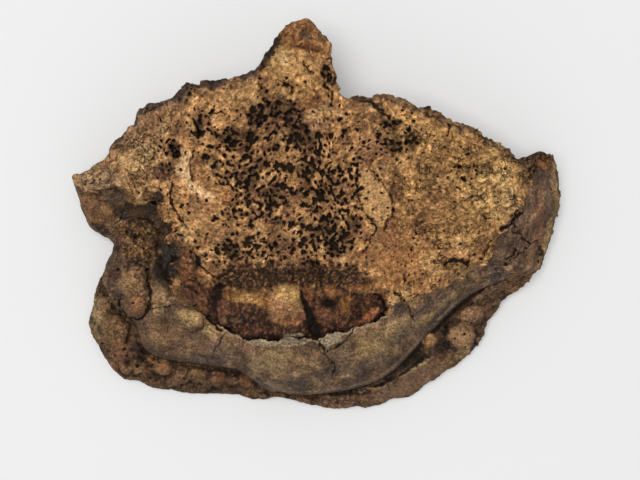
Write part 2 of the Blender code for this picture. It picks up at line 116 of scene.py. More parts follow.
def curve_through(points, closed, per_span=4):
    """Points along a Catmull-Rom curve: between two points, a cubic that also heeds the two next to them."""
    p = np.array(points, float)
    ends = (p[-1:], p[:2]) if closed else (2 * p[:1] - p[1:2], 2 * p[-1:] - p[-2:-1])
    p = np.concatenate([ends[0], p, ends[1]])
    a, b, c, d = p[:-3, None], p[1:-2, None], p[2:-1, None], p[3:, None]
    t = (np.arange(per_span) / per_span)[None, :, None]
    bend = 2 * a - 5 * b + 4 * c - d
    line = (0.5 * (2 * b + (c - a) * t + bend * t**2 + (3 * b - a - 3 * c + d) * t**3)).reshape(-1, 2)
    return line if closed else np.concatenate([line, p[-2:-1]])


outline, torn_edge, upper_shelf = (curve_through(p, closed=True) for p in (OUTLINE, TORN_EDGE, UPPER_SHELF))
print("the outline has", len(outline), "points")

# %% Distances in the drawing


def distance_to(line, x, y):
    """The distance from each place to the nearest point of a line: the least over its straight bits."""
    nearest = np.full(x.shape, np.inf)
    for (ax, ay), (bx, by) in zip(line[:-1], line[1:], strict=True):
        dx, dy = bx - ax, by - ay
        t = np.clip(((x - ax) * dx + (y - ay) * dy) / (dx * dx + dy * dy + 1e-12), 0, 1)
        nearest = np.minimum(nearest, (x - ax - t * dx) ** 2 + (y - ay - t * dy) ** 2)
    return np.sqrt(nearest)


def depth_inside(line, x, y):
    """How far each place is inside a closed line, below 0 outside. A ray from inside crosses it an odd
    number of times."""
    ring = np.concatenate([line, line[:1]])
    inside = np.zeros(x.shape, bool)
    for (ax, ay), (bx, by) in zip(ring[:-1], ring[1:], strict=True):
        at = ax + (y - ay) * (bx - ax) / (by - ay if by != ay else 1e-12)
        inside ^= ((ay > y) != (by > y)) & (x < at)
    return np.where(inside, 1, -1) * distance_to(ring, x, y)


def reach(line, hub, angle):
    """How far a ray from the hub goes at each angle before it last crosses a closed line."""
    p = line - hub
    q = np.roll(p, -1, 0) - p
    ux, uy = np.cos(angle)[:, None], np.sin(angle)[:, None]
    turn = ux * q[:, 1] - uy * q[:, 0]
    along = (p[:, 0] * q[:, 1] - p[:, 1] * q[:, 0]) / np.where(turn == 0, 1e-12, turn)
    share = (p[:, 0] * uy - p[:, 1] * ux) / np.where(turn == 0, 1e-12, turn)
    return np.where((share >= 0) & (share <= 1) & (along > 0), along, 0).max(1)


# %% [markdown]
# ## Heights
# A few heights, given all over the flesh, the crust and the rim, give the large forms. A smooth
# surface goes through each set: multiquadric splines, which are hyperbolic bowls centred on the given
# places and added in the right shares.

# %% Heights of the flesh
FLESH_LEVELS = [
    (-117, 30, 32), (-108, 27, 35), (-100, 41, 37), (-100, 30, 38), (-90, 50, 41), (-92, 24, 39),
    (-85, 35, 44), (-86, 60, 42), (-80, 20, 42), (-76, 48, 47), (-74, 65, 45), (-72, 30, 46), (-68, 5, 43),
    (-67, -8, 39), (-64, -18, 35), (-59, -29, 32), (-60, 50, 52), (-61, 73, 50), (-50, 10, 50),
    (-55, -2, 46), (-48, -15, 42), (-40, 35, 51), (-40, 60, 56), (-45, 75, 54), (-30, 78, 58),
    (-20, 50, 53), (-20, 20, 50), (-25, -6, 47), (-28, -15, 42), (0, 90, 50), (-10, 102, 48), (-24, 88, 52),
    (-10, 80, 60), (-5, 65, 60), (0, 45, 54), (0, 20, 50), (0, -5, 46), (0, -14, 41), (10, 60, 58),
    (12, 66, 56), (25, 25, 53), (20, 0, 47), (20, -14, 42), (30, 66, 56), (35, 45, 54), (45, 62, 53),
    (40, 15, 51), (35, -10, 47), (33, -24, 41), (39, -28, 39), (50, -20, 41), (60, 57, 49), (60, 30, 50),
    (60, 5, 48), (65, -14, 41), (75, 51, 44), (80, 35, 45), (80, 15, 44), (78, -5, 38), (92, 40, 36),
    (95, 25, 36), (92, 13, 36), (100, 35, 32), (107, 37, 30), (-42, -27, 41), (-26, -26, 44),
    (-14, -26, 44), (-48, -37, 31), (-36, -42, 31), (-15, -42, 31), (0, -25, 42), (0, -41, 32),
    (15, -28, 41), (26, -28, 41), (14, -39, 34), (27, -35, 36),
]

# %% Heights of the crust and the rim
CRUST_LEVELS = [
    (104, 36, 32), (110, 38, 27), (114, 20, 19), (105, 20, 28), (97, 14, 34), (112, 8, 18), (101, 0, 27),
    (90, 4, 34), (108, -5, 16), (98, -9, 24), (85, -3, 34), (101, -15, 17), (89, -14, 26), (80, -12, 33),
    (70, -18, 35), (74, -25, 27), (55, -24, 36), (63, -33, 28), (45, -31, 37), (53, -42, 29), (35, -38, 37),
    (43, -52, 29), (25, -42, 36), (34, -55, 32), (28, -63, 26), (15, -46, 36), (18, -57, 34), (12, -67, 26),
    (0, -48, 35), (1, -60, 33), (-2, -71, 25), (-15, -49, 34), (-15, -60, 36), (-15, -71, 26),
    (-33, -49, 32), (-31, -58, 31), (-38, -59, 26), (-48, -44, 31), (-50, -55, 26), (-57, -38, 31),
    (-62, -48, 29), (-65, -55, 23), (-70, -34, 29), (-75, -46, 27), (-83, -47, 22), (-79, -37, 27),
    (-77, -24, 27), (-92, -20, 26), (-90, -33, 24), (-102, -14, 18), (-100, -8, 17), (-99, -25, 20),
    (-95, -5, 20), (-88, -8, 22), (-84, 4, 24), (-99, 0, 16), (-80, -4, 20), (-74, -6, 14), (-73, -16, 17),
    (-71, 2, 20), (-109, 6, 13), (-101, 2, 14), (-112, 14, 17), (-116, 24, 25), (-104, 18, 27),
    (-96, 10, 20), (-95, 17, 31), (-88, 14, 26), (-82, 10, 25), (-80, 15, 33),
]
RIM_LEVELS = [
    (-108, -28, 8), (-109, -42, 7), (-101, -30, 13), (-97, -42, 14), (-95, -52, 13), (-101, -57, 8),
    (-90, -62, 10), (-85, -55, 14), (-80, -68, 7), (-75, -60, 13), (-65, -62, 13), (-62, -71, 7),
    (-50, -62, 14), (-50, -71, 7), (-38, -66, 13), (-35, -73, 7), (-25, -74, 8), (-15, -74, 9),
    (0, -76, 10), (6, -78, 7), (15, -76, 11), (20, -78, 8), (20, -72, 13), (30, -71, 14), (30, -76, 8),
    (40, -64, 15), (42, -72, 8), (49, -60, 15), (50, -67, 9), (55, -50, 17), (60, -60, 10), (65, -45, 17),
    (70, -52, 10), (66, -36, 18), (77, -44, 10), (80, -37, 9), (75, -30, 18), (85, -30, 11), (85, -22, 18),
    (93, -23, 11), (98, -19, 12),
]


def surface_through(levels):
    """A smooth surface through heights: a sum of bowls, each the root of (distance squared plus 6 mm
    squared), and a plane."""
    px, py, pz = np.array(levels, float).T

    def waves(x, y):
        bowl = np.sqrt((x[..., None] - px) ** 2 + (y[..., None] - py) ** 2 + 6.0**2)
        return np.concatenate([bowl, np.ones(x.shape + (1,)), x[..., None], y[..., None]], -1)

    n = len(px)
    system = np.zeros((n + 3, n + 3))
    system[:n] = waves(px, py)
    system[n:, :n] = system[:n, n:].T
    weights = np.linalg.solve(system, np.concatenate([pz, np.zeros(3)]))
    return lambda x, y: waves(x, y) @ weights


flesh_level, crust_level, rim_level = map(surface_through, (FLESH_LEVELS, CRUST_LEVELS, RIM_LEVELS))
at_the_back = float(flesh_level(np.array([-5.0]), np.array([65.0]))[0])
print(f"the flesh stands {at_the_back:.1f} mm high at the back")

# %% [markdown]
# ## Natural roughness
# Nothing on a fungus is regular, but the same script must give the same fungus each time. So all chance
# comes from one function that turns a lattice point and a seed into a number. Gradient noise then makes
# soft hills, layers of it make rough ground, and its size without its sign makes crumbs with creases.

# %% Noise


def smooth_step(value, start, end):
    """0 before start and 1 after end, with an S-shaped curve between them: 3 t squared less 2 t cubed."""
    t = np.clip((value - start) / (end - start), 0, 1)
    return t * t * (3 - 2 * t)


def fade(value, start, end):
    """1 before start and 0 after end, with the same curve."""
    return 1 - smooth_step(value, start, end)


def rounded(to_edge, radius):
    """How far a rounded edge has dropped, as on a circle: 0 a radius from the edge, and 1 at the edge."""
    return 1 - np.sqrt(1 - np.clip(1 - to_edge / radius, 0, 1) ** 2)


def scattered(ix, iy, seed):
    """A number from 0 to 1 for each lattice point: place and seed, mixed by multiplying and shifting."""
    mixed = ix.astype(np.int64) * 374761393 + iy.astype(np.int64) * 668265263 + seed * 974711
    mixed = (mixed ^ (mixed >> 13)) * 1274126177 & 0xFFFFFFFF
    return ((mixed ^ (mixed >> 16)) & 0xFFFF) / 0xFFFF


def turned(x, y, size, seed):
    """Places in units of a size, on axes that each seed turns its own way, so no two lattices line up."""
    c, s = np.cos(seed * 1.7) / size, np.sin(seed * 1.7) / size
    return c * x - s * y, s * x + c * y


def hills(x, y, size, seed):
    """Gradient noise: each lattice point has a slope its own way, and the four round a place are blended."""
    u, v = turned(x, y, size, seed)
    ix, iy = np.floor(u), np.floor(v)
    total = 0.0
    for i, j in ((0, 0), (1, 0), (0, 1), (1, 1)):
        turn = 2 * np.pi * scattered(ix + i, iy + j, seed)
        fu, fv = u - ix - i, v - iy - j
        near = smooth_step(1 - abs(fu), 0, 1) * smooth_step(1 - abs(fv), 0, 1)
        total = total + near * (np.cos(turn) * fu + np.sin(turn) * fv)
    return 1.7 * total


def rough(x, y, size, seed, layers=3):
    """Hills on hills: each layer is half the size and half the height of the one before."""
    return sum(hills(x, y, size / 2**k, seed + k) / 2**k for k in range(layers))


def cloud(x, y, size, seed, layers=3):
    """Rough ground as a share: about half in most places, and seldom below 0 or above 1."""
    return 0.5 + 0.5 * rough(x, y, size, seed, layers)


def shaken(x, y, by, size, seeds, layers):
    """Places pushed about by rough ground, with a seed for each direction."""
    return x + by * rough(x, y, size, seeds[0], layers), y + by * rough(x, y, size, seeds[1], layers)


def crumbs(x, y, size, seed, layers=3):
    """Rounded lumps parted by narrow creases: the noise without its sign, in layers."""
    return sum(abs(hills(x, y, size / 2**k, seed + k)) ** 0.8 / 2**k for k in range(layers))


# %% Lumps, spots and furrows


def lumps(places, x, y, edge=0.5):
    """Swellings of (x, y, across, along, height), the highest where they overlap: height times (1 - away
    squared) to the power of edge."""
    wx, wy = shaken(x, y, 1.0, 6, (95, 97), 2)
    total = np.zeros(x.shape)
    for cx, cy, across, along, height in places:
        away = ((wx - cx) / across) ** 2 + ((wy - cy) / along) ** 2
        total = np.maximum(total, height * np.clip(1 - away, 0, 1) ** edge)
    return total


def spot(x, y, cx, cy, across, along, soft=0.5, turn=0.0):
    """1 in the middle of an ellipse and 0 outside, with a soft and ragged edge. It may be turned."""
    t = np.radians(turn)
    u = ((x - cx) * np.cos(t) + (y - cy) * np.sin(t)) / across
    v = ((y - cy) * np.cos(t) - (x - cx) * np.sin(t)) / along
    away = np.hypot(u, v) + 0.3 * rough(x, y, 5.0, 91)
    return fade(away, 1 - soft, 1 + soft)


def spots(places, x, y, soft=0.3):
    """The strongest of several spots of (x, y, across, along)."""
    total = np.zeros(x.shape)
    for cx, cy, across, along in places:
        total = np.maximum(total, spot(x, y, cx, cy, across, along, soft))
    return total


def hollows(places, x, y):
    """How deep soft hollows of (x, y, across, along, depth) are together."""
    return sum(depth * spot(x, y, cx, cy, across, along) for cx, cy, across, along, depth in places)


def near_path(path, x, y, start, end, ragged=0.5):
    """1 within a distance of a smooth line and 0 beyond another, both made ragged by noise."""
    wx, wy = shaken(x, y, ragged, 2.6, (81, 84), 2)
    away = distance_to(curve_through(path, closed=False), wx, wy)
    return fade(away + 0.4 * end * rough(x, y, 3.1, 87, 2), start, end)


def within(shape, x, y, ragged=0.4, soft=0.4):
    """1 inside a smooth closed line through a few points and 0 outside, with a ragged edge."""
    wx, wy = shaken(x, y, ragged, 2.6, (83, 86), 2)
    return smooth_step(depth_inside(curve_through(shape, closed=True), wx, wy), -soft, soft)


def furrows(paths, x, y, ragged=0.5):
    """Grooves of (path, width, depth) with S-shaped banks."""
    total = np.zeros(x.shape)
    for path, width, depth in paths:
        total = np.maximum(total, depth * near_path(path, x, y, 0.15 * width, width, ragged))
    return total


# %% [markdown]
# ## The insects' holes
# Beetles have bored the dry flesh until parts of it are a black and tan maze: ragged holes of 1 to 3 mm
# that run into each other. Each hole is a bell at a jittered point of a lattice. Where bells overlap, the
# holes join. They crowd together in some patches, fuse to dark hollows in a few places, and leave others
# bare.

# %% Where the holes crowd, and the holes
BORED_PATCHES = [
    (-14, 26, 42, 36, 1), (-22, 58, 16, 12, 0.9), (36, 48, 14, 10, 0.5), (-40, -4, 20, 9, 0.55),
    (-70, 40, 8, 8, 0.5), (-63, 17, 6, 6, 0.6), (-55, 54, 8, 8, 0.75), (-51, 41, 6, 8, 0.65),
    (-18, -2, 36, 8, 1.2), (-44, -4, 9, 6, 1.3), (2, 0, 12, 9, 1.3), (-27, -5, 11, 5, 1.2),
    (70, 34, 6, 12, 0.3), (3, 79, 3.6, 8, 0.9), (-28, 76, 5, 3, 0.6), (-17, 75, 4, 3, 0.6),
]
FUSED_HOLES = [
    (-21, 63, 8, 4), (-15, 60, 4, 4), (-31, 58, 4, 4), (-39, 48, 8, 5), (-10, 51, 5, 5), (-4, 48, 4, 4),
    (-7, 34, 6, 3), (0, 23, 5, 4), (-23, 20, 5, 6), (-34, 29, 6, 5), (16, 8, 4, 4), (-41, -6, 5, 4),
    (8, 0, 7, 7), (4, 8, 5, 4), (-69, 42, 2.6, 4.6), (-57.6, 53.5, 2, 4.4), (-53, 38.6, 4, 2.4),
    (-49.6, 35, 2, 3.6), (34.6, 55, 4, 3), (44, 47, 3, 3.6), (35.6, 45, 3.6, 4), (28, 58, 4, 3),
    (-20, 68, 3, 2),
]
BARE_PLACES = [
    (-23, 4, 8, 4), (-52, 20, 10, 9), (-46, 58, 6, 5), (26, 20, 7, 19), (4, 64, 10, 9), (-12, 15, 3, 6),
    (10, 42, 4, 8), (40, -6, 14, 16), (-66, 30, 6, 12), (-57.6, 32, 5, 6), (2, 54, 8, 3), (-28, 44, 4, 3),
    (-13, 41, 4, 3),
]


def crowding(x, y):
    """How thickly the insects have bored each place: the highest of a few flat-topped bells, up to 1.3."""
    crowd = np.zeros(x.shape)
    for cx, cy, across, along, thick in BORED_PATCHES:
        away = ((x - cx) / across) ** 2 + ((y - cy) / along) ** 2
        crowd = np.maximum(crowd, thick * np.exp(-(away**2)))
    return crowd * (1 - 0.85 * spots(BARE_PLACES, x, y))


def bores(x, y, spacing, seed, share, least, most):
    """Bells, 1 high and of least to most of the spacing wide, at a share of a lattice's jittered points."""
    u, v = turned(x, y, spacing, seed)
    ix, iy = np.floor(u), np.floor(v)
    total = np.zeros(x.shape)
    for jx, jy in [(ix + i, iy + j) for i in (-1, 0, 1) for j in (-1, 0, 1)]:
        away = (u - jx - scattered(jx, jy, seed)) ** 2 + (v - jy - scattered(jx, jy, seed + 1)) ** 2
        radius = least + (most - least) * scattered(jx, jy, seed + 2) ** 1.5
        total += (scattered(jx, jy, seed + 3) < share) * np.exp(-away / radius**2)
    return total


def hole_level(x, y):
    """Above 0 in a hole: wide and narrow bells on ragged places, less a level. Also how far they fuse."""
    wx, wy = shaken(x, y, 0.55, 2.2, (71, 72), 1)
    crowd, fused = crowding(x, y), spots(FUSED_HOLES, x, y)
    wide = bores(wx, wy, 1.9, 7, 0.56 * crowd + 0.3 * fused, 0.28, 0.6)
    narrow = bores(wx, wy, 1.2, 9, 0.055 + 0.14 * crowd, 0.25, 0.5)
    return wide + 0.8 * narrow - 0.45 + 0.26 * rough(x, y, 1.9, 77, 2), fused


# %% [markdown]
# ## Closed meshes from grids
# Each piece is one closed surface. A tube of rings closed by a fan at either end does for the crust and
# the body. The flesh is a grid, and its rim is carried down to a fan below.

# %% Mesh makers


def closed_body(name, points, quads, fans, attributes):
    """A mesh from places, four-cornered and three-cornered faces, turned so that its volume is above 0."""
    a, b, c, d = (points[quads[:, k]] for k in range(4))
    e, f, g = (points[fans[:, k]] for k in range(3))
    volume = sum((np.cross(p, q) * r).sum() for p, q, r in ((a, b, c), (a, c, d), (e, f, g))) / 6
    if volume < 0:
        quads, fans = quads[:, ::-1], fans[:, ::-1]
    mesh = bpy.data.meshes.new(name)
    mesh.vertices.add(len(points))
    mesh.vertices.foreach_set("co", (points * MM).ravel())
    corners = np.concatenate([quads.ravel(), fans.ravel()])
    mesh.loops.add(len(corners))
    mesh.loops.foreach_set("vertex_index", corners)
    starts = np.concatenate([np.arange(len(quads)) * 4, len(quads) * 4 + np.arange(len(fans)) * 3])
    mesh.polygons.add(len(starts))
    mesh.polygons.foreach_set("loop_start", starts)
    mesh.update(calc_edges=True)
    mesh.shade_smooth()
    for key, values in attributes.items():
        colour = values.ndim == 2
        layer = mesh.attributes.new(key, "FLOAT_COLOR" if colour else "FLOAT", "POINT")
        if colour:
            values = np.concatenate([values, np.ones((len(values), 1))], 1)
        layer.data.foreach_set("color" if colour else "value", values.ravel())
    obj = bpy.data.objects.new(name, mesh)
    bpy.context.scene.collection.objects.link(obj)
    print(f"{name}: {2 * len(quads) + len(fans)} triangles, {abs(volume) / 1000:.0f} cm3")
    return obj


def tube_body(name, rings, attributes):
    """Rings of points joined side by side and end to end, each end closed by a fan to its middle."""
    count, around = rings.shape[:2]
    points = np.concatenate([rings.reshape(-1, 3), rings[0].mean(0)[None], rings[-1].mean(0)[None]])
    here = np.arange(around)
    after = (here + 1) % around
    start = (np.arange(count - 1) * around)[:, None]
    quads = np.stack([start + here, start + around + here, start + around + after, start + after], -1)
    last, first_end, last_end = (count - 1) * around, count * around, count * around + 1
    fans = np.concatenate([
        np.stack([np.full(around, first_end), here, after], -1),
        np.stack([np.full(around, last_end), last + after, last + here], -1),
    ])
    whole = {}
    for key, values in attributes.items():
        flat = values.reshape(count * around, *values.shape[2:])
        whole[key] = np.concatenate([flat, flat[:1], flat[-1:]])
    return closed_body(name, points, quads.reshape(-1, 4), fans, whole)


# %% [markdown]
# ## Colours
# The colours are sRGB hex values, as a paint chart gives them, and one function turns them to the linear
# numbers that light is worked out with. Each piece keeps a colour for each point of its mesh. It is laid
# on in washes, one for each zone, with ragged edges made by the same noise as the forms.

# %% Colour helpers


def linear(hex_colour):
    """sRGB hex to linear numbers: the standard curve, a straight bit and then a power of 2.4."""
    c = np.array([int(hex_colour[k : k + 2], 16) for k in (1, 3, 5)]) / 255
    return np.where(c <= 0.04045, c / 12.92, ((c + 0.055) / 1.055) ** 2.4)


def wash(colour, hex_colour, share):
    """Moves the colours towards a new one by a share from 0 to 1."""
    return colour + (linear(hex_colour) - colour) * np.clip(share, 0, 1)[..., None]


def washed(colour, *layers):
    """Washes of (hex colour, share), laid on one after another."""
    for hex_colour, share in layers:
        colour = wash(colour, hex_colour, share)
    return colour


def washed_spots(colour, places, x, y):
    """Washes in spots of (hex colour, share, x, y, across, along, softness of the edge or 0.4, turn or 0)."""
    for hex_colour, share, cx, cy, across, along, *rest in places:
        colour = wash(colour, hex_colour, share * spot(x, y, cx, cy, across, along, *(rest or [0.4])))
    return colour


def grit(colour, x, y, share, light, dark):
    """Dark and light crumbs of half a millimetre or more, at jittered places, as strong as the share."""
    colour = wash(colour, dark, share * smooth_step(bores(x, y, 1.3, 37, 0.5, 0.25, 0.55), 0.3, 0.8))
    return wash(colour, light, share * smooth_step(bores(x, y, 1.25, 33, 0.4, 0.25, 0.55), 0.2, 0.9))


# %% [markdown]
# ## The torn flesh
# The flesh is the oldest, thickest part: corky, rough, and torn where the crust came off. At the front it
# ends in fibrous lumps. A long crack parts the bored flesh on the left from the crumbly flesh on the
# right, so each gets a grid of its own, with cells of about 0.4 mm, and both use the same heights.

# %% The edges of the flesh
FLESH_CRACK = [
    (19.4, 68.6), (20.5, 60), (18.4, 46), (17.6, 33), (18, 22), (20.4, 14), (25, 8.6), (27, 5), (23.6, 0),
    (22, -6), (22.4, -12), (24.5, -19), (28, -26), (31, -31), (31, -39),
]


def moved_out(line, distance):
    """A line moved sideways to its right by a distance, along the normals."""
    along = np.gradient(line, axis=0)
    along /= np.hypot(*along.T)[:, None]
    return line + distance * along[:, ::-1] * (1, -1)


def nearest_on(line, place):
    """The number of the line's point that is nearest to a place."""
    return int(np.argmin(np.hypot(*(line - place).T)))


def spread(line, ties, counts):
    """Points along a line, a given number of even steps from each tie, a place on the line, to the next."""
    run = np.concatenate([[0], np.cumsum(np.hypot(*np.diff(line, axis=0).T))])
    at = [run[nearest_on(line, tie)] for tie in ties]
    steps = [np.linspace(a, b, n, endpoint=False) for a, b, n in zip(at[:-1], at[1:], counts, strict=True)]
    return np.stack([np.interp(np.concatenate([*steps, at[-1:]]), run, line[:, k]) for k in (0, 1)], -1)


def filled(bottom, top, left, right):
    """A grid inside four edges, a Coons patch: both ways between opposite edges, less the corners' blend."""
    u = np.linspace(0, 1, len(bottom))[:, None, None]
    v = np.linspace(0, 1, len(left))[None, :, None]
    upward = (1 - v) * bottom[:, None] + v * top[:, None]
    sideways = (1 - u) * left[None] + u * right[None]
    low = (1 - u) * bottom[0] + u * bottom[-1]
    high = (1 - u) * top[0] + u * top[-1]
    return upward + sideways - (1 - v) * low - v * high


front_edge = moved_out(torn_edge[: nearest_on(torn_edge, (-116, 28.6)) + 1][::-1], 1.6)
tip, corner = nearest_on(outline, (-117.4, 29.6)), nearest_on(outline, (111, 39))
back_edge = moved_out(outline[corner : tip + 1], 0.8)[::-1]
crack = curve_through(FLESH_CRACK, closed=False)[::-1]
print("the flesh's front edge has", len(front_edge), "points and its back edge", len(back_edge))

# %% A grid for each half
ROWS = 280
FRONT_TIES = [
    (-116, 28), (-78.6, 16), (-70, -24), (-25, -49), (8, -45), (31, -38), (56, -22), (83, -4), (97, 17),
    (110, 36),
]
BACK_TIES = [
    (-117, 29), (-93, 50), (-65, 71), (-33, 79), (8, 73), (19.5, 68), (46, 63), (76, 51), (97, 38),
    (111, 39),
]
COLUMNS = [45, 68, 78, 100, 39, 62, 64, 42, 34]


def half_grid(first, last, left, right):
    """The grid between two pairs of ties, with its left and right edges."""
    bottom = spread(front_edge, FRONT_TIES[first : last + 1], COLUMNS[first:last])
    top = spread(back_edge, BACK_TIES[first : last + 1], COLUMNS[first:last])
    left = np.linspace(bottom[0], top[0], ROWS + 1) if left is None else left
    right = np.linspace(bottom[-1], top[-1], ROWS + 1) if right is None else right
    bottom[0], bottom[-1], top[0], top[-1] = left[0], right[0], left[-1], right[-1]
    return np.moveaxis(filled(bottom, top, left, right), -1, 0)


seam = spread(crack, [crack[0], crack[-1]], [ROWS])
left_half, right_half = half_grid(0, 5, None, seam), half_grid(5, 9, seam, None)
print("grids of the flesh:", left_half.shape[1:], "and", right_half.shape[1:])

# %% The flesh's own lumps, furrows and hollows
FLESH_LUMPS = [
    (65, -15, 5.6, 3.2, 3.4), (25.5, 5, 4, 4, 1), (-8, 98, 8, 7, 2.5), (-20, 86, 6, 5, 2.5),
    (50, 30, 12, 9, 1.5), (-86, 55, 8, 6, 2), (-45, 70, 7, 5, 2), (80, 42, 8, 6, 1.6), (-96, 38, 7, 5, 1.6),
    (-52, 32, 6, 8, 1.5),
]
LOBES = [
    (-45, -32, 5, 9, 4.5), (-33, -32, 11, 8, 6), (-30, -40, 9, 6, 4), (-17, -29.6, 9, 10.4, 5.4),
    (-15, -41, 8, 5, 4.5), (-5, -27, 3, 6, 5), (5, -25, 3.6, 5, 5), (5, -35, 6, 5, 3.5), (13, -32, 5, 8, 6),
    (21, -38, 4, 3, 4), (26, -34.6, 4, 3.4, 5), (12, -41, 8, 4, 3), (-63, -13, 5, 9, 3.5),
    (-56, -27, 5, 8, 4), (19, -23.4, 7, 3, 3), (-16, -46, 10, 4, 3.5), (-37, -45, 8, 4, 3),
    (15, -43, 8, 3.4, 2.5),
]
SMOOTH_PATCH = [
    (18.6, 30), (20.4, 34), (24, 33.7), (29.6, 27), (33.6, 19), (32.4, 11), (28, 6), (22.6, 11), (19.4, 18),
    (18.2, 25),
]
PALE_STREAK = [
    (-66.2, 43.2), (-60.8, 41.8), (-61.7, 39), (-62.6, 36.6), (-62.2, 33.7), (-61.5, 30), (-61.2, 28),
    (-59.4, 27), (-57, 25.6), (-54.6, 23.2), (-50.8, 22.3), (-50, 19.4), (-52.2, 18.4), (-55, 19.6),
    (-58.4, 21.6), (-62.2, 23.2), (-64.8, 26.6), (-66, 29), (-68.8, 31.8), (-68.8, 34.2), (-67.4, 36.6),
    (-66.2, 40),
]
CUSHION = [
    (-23.8, -24.8), (-19, -22.7), (-14.3, -22.9), (-10.2, -23), (-9.2, -27), (-8, -31.6), (-7.2, -35.8),
    (-8.4, -38.8), (-12, -40), (-17, -40.6), (-21, -39.2), (-24, -37), (-24.6, -32),
]
BLACK_WEDGE = [
    (-9.8, -24), (-8.6, -24.2), (-6.8, -28.6), (-5, -31.4), (-3.6, -34.6), (-2.2, -37.4), (-0.8, -40),
    (0.6, -43), (0, -45.6), (-3, -46), (-5, -44), (-5.6, -40), (-6.4, -36.6), (-7.6, -32), (-9, -28),
]
LOOSE_FLAKE = [(-18, -46.2), (-13, -44.8), (-9.4, -44.4), (-7.6, -45.4), (-9.6, -46.4), (-14, -46.8)]
FLESH_HOLLOWS = [
    (-22, 62, 9, 5, 3), (-37, 48, 8, 5, 2.6), (-9, 50, 6, 4, 2.6), (-3, 24, 8, 4, 2.2),
    (-23, 20, 5, 6, 2.2), (8, 4, 8, 6, 2.2), (34.6, 54.6, 4, 3, 3), (44, 46.6, 3, 3.4, 3.4),
    (36, 45, 4, 5, 2.6), (-8, 34, 5, 3, 2), (17.8, -32.6, 3, 5, 4), (-69, 42, 3, 5, 3), (-78, 19, 5, 4, 5),
    (-62, -9, 3, 3, 2), (57, 40, 7, 5, 1.4), (70, 30, 4, 9, 2), (3.8, -29.8, 3, 2.6, 4.5),
    (-48, -26, 2.4, 6, 4), (-68, 3, 3, 3, 2.5), (-71, -12, 3, 9, 4),
]
CREVICES = [
    (-16, -47, 9, 2), (22, -42, 6, 3), (-43, -45, 4, 2.4), (-51, -38, 3, 5), (92, 9.6, 4, 6),
    (-74, 7, 4, 6), (-70, -14, 3, 8),
]
TROUGH = [(-44, -18), (-34, -17.4), (-20, -17), (-4, -17), (8, -18), (17, -20)]
FLESH_FURROWS = [
    (
        [(17.8, 36), (17.6, 33), (18, 22), (20.4, 14), (25, 8.6), (27, 5), (23.6, 0), (22, -6), (22.4, -12)],
        0.7, 3.6,
    ),
    ([(26.4, -26), (29.6, -29), (31.6, -32.6), (31, -35.4), (26.8, -38.4), (20.2, -41), (16, -43)], 1.2, 5),
    ([(59.6, -11.6), (62, -10), (66, -9.4), (70.4, -11)], 1.1, 5),
    ([(40.2, -16), (40, -18.6), (40.6, -21.4)], 0.9, 4.6), ([(36, -25), (37.6, -26.6)], 1.2, 4.6),
    ([(16, 68), (22, 66), (28, 62.6), (33, 58)], 1.4, 4), ([(-60, 57), (-58, 53), (-57, 50)], 1.3, 5),
    ([(-71, 45), (-70, 42), (-67, 41)], 1.6, 5), ([(-53.6, 55), (-50, 60), (-45.6, 60.6)], 0.5, 3),
    ([(-59.4, -6), (-57.4, -11.6), (-52, -16.4), (-47.4, -18.6), (-42.6, -14.6), (-40.6, -11.6)], 0.9, 3.4),
    ([(87, 5), (91, 9), (94, 13)], 1.2, 4.5), ([(-8, 84), (-3, 79)], 0.6, 4),
    ([(-53.4, 23.6), (-50.6, 22.6), (-49.2, 19.8), (-45.5, 18), (-40.8, 16), (-39, 13)], 0.5, 2.4),
    ([(-60.4, 42.4), (-61.3, 39), (-62.2, 36.6), (-61.8, 33.7), (-61.1, 30), (-60.6, 28)], 0.6, 3),
    ([(-70.6, 26.4), (-71, 22.3), (-70.5, 18.5), (-69.8, 15.1), (-67.4, 11.8), (-64, 6)], 0.8, 3.6),
    ([(2, 73), (6, 70), (5, 64)], 1.2, 3), ([(71, 46), (70, 36), (72, 26)], 0.6, 2.6),
    ([(81, 0), (78, -7)], 0.6, 3.4), ([(62, 54), (60.6, 49)], 0.8, 3.4),
    ([(-10, 92), (-3, 90), (1, 91)], 0.6, 2.2), ([(-92, 33), (-84, 29)], 0.6, 2),
    ([(22.8, 35), (28.7, 28), (33.7, 21), (34.6, 13), (30, 5)], 0.8, 2.7),
    ([(50, 12), (58, 15), (66, 12)], 0.4, 1.6), ([(-96, 44), (-84, 40)], 0.5, 1.6),
    ([(-101.5, 21.5), (-99, 24), (-93.8, 24.5), (-90.8, 22.7)], 0.7, 2.2),
    ([(-100, 20.8), (-96.6, 22.6), (-93, 21.4)], 0.6, 1.8),
    ([(-109, 24), (-104, 22.6), (-101, 21)], 0.5, 1.6), ([(-91, 29), (-90, 24), (-91, 20)], 0.6, 2.4),
    ([(44, 34), (52, 30), (53, 22)], 0.5, 1.8), ([(78, 40), (84, 30)], 0.4, 1.8),
    ([(-82, 62), (-74, 56), (-70, 50)], 0.6, 2.4), ([(-30, 76), (-28, 72)], 0.9, 3.4),
    ([(-18, 76), (-14, 73)], 1.4, 3), ([(-90, 32), (-88, 25)], 0.5, 2.4),
    ([(-86, 30), (-84, 23)], 0.5, 2.4), ([(0.6, -20), (2, -27)], 0.7, 2),
    ([(12, -27), (13, -34), (17, -40)], 0.5, 2), ([(-35, -38), (-37, -44)], 0.6, 2),
    ([(-26, -40), (-24, -46)], 0.5, 2),
]


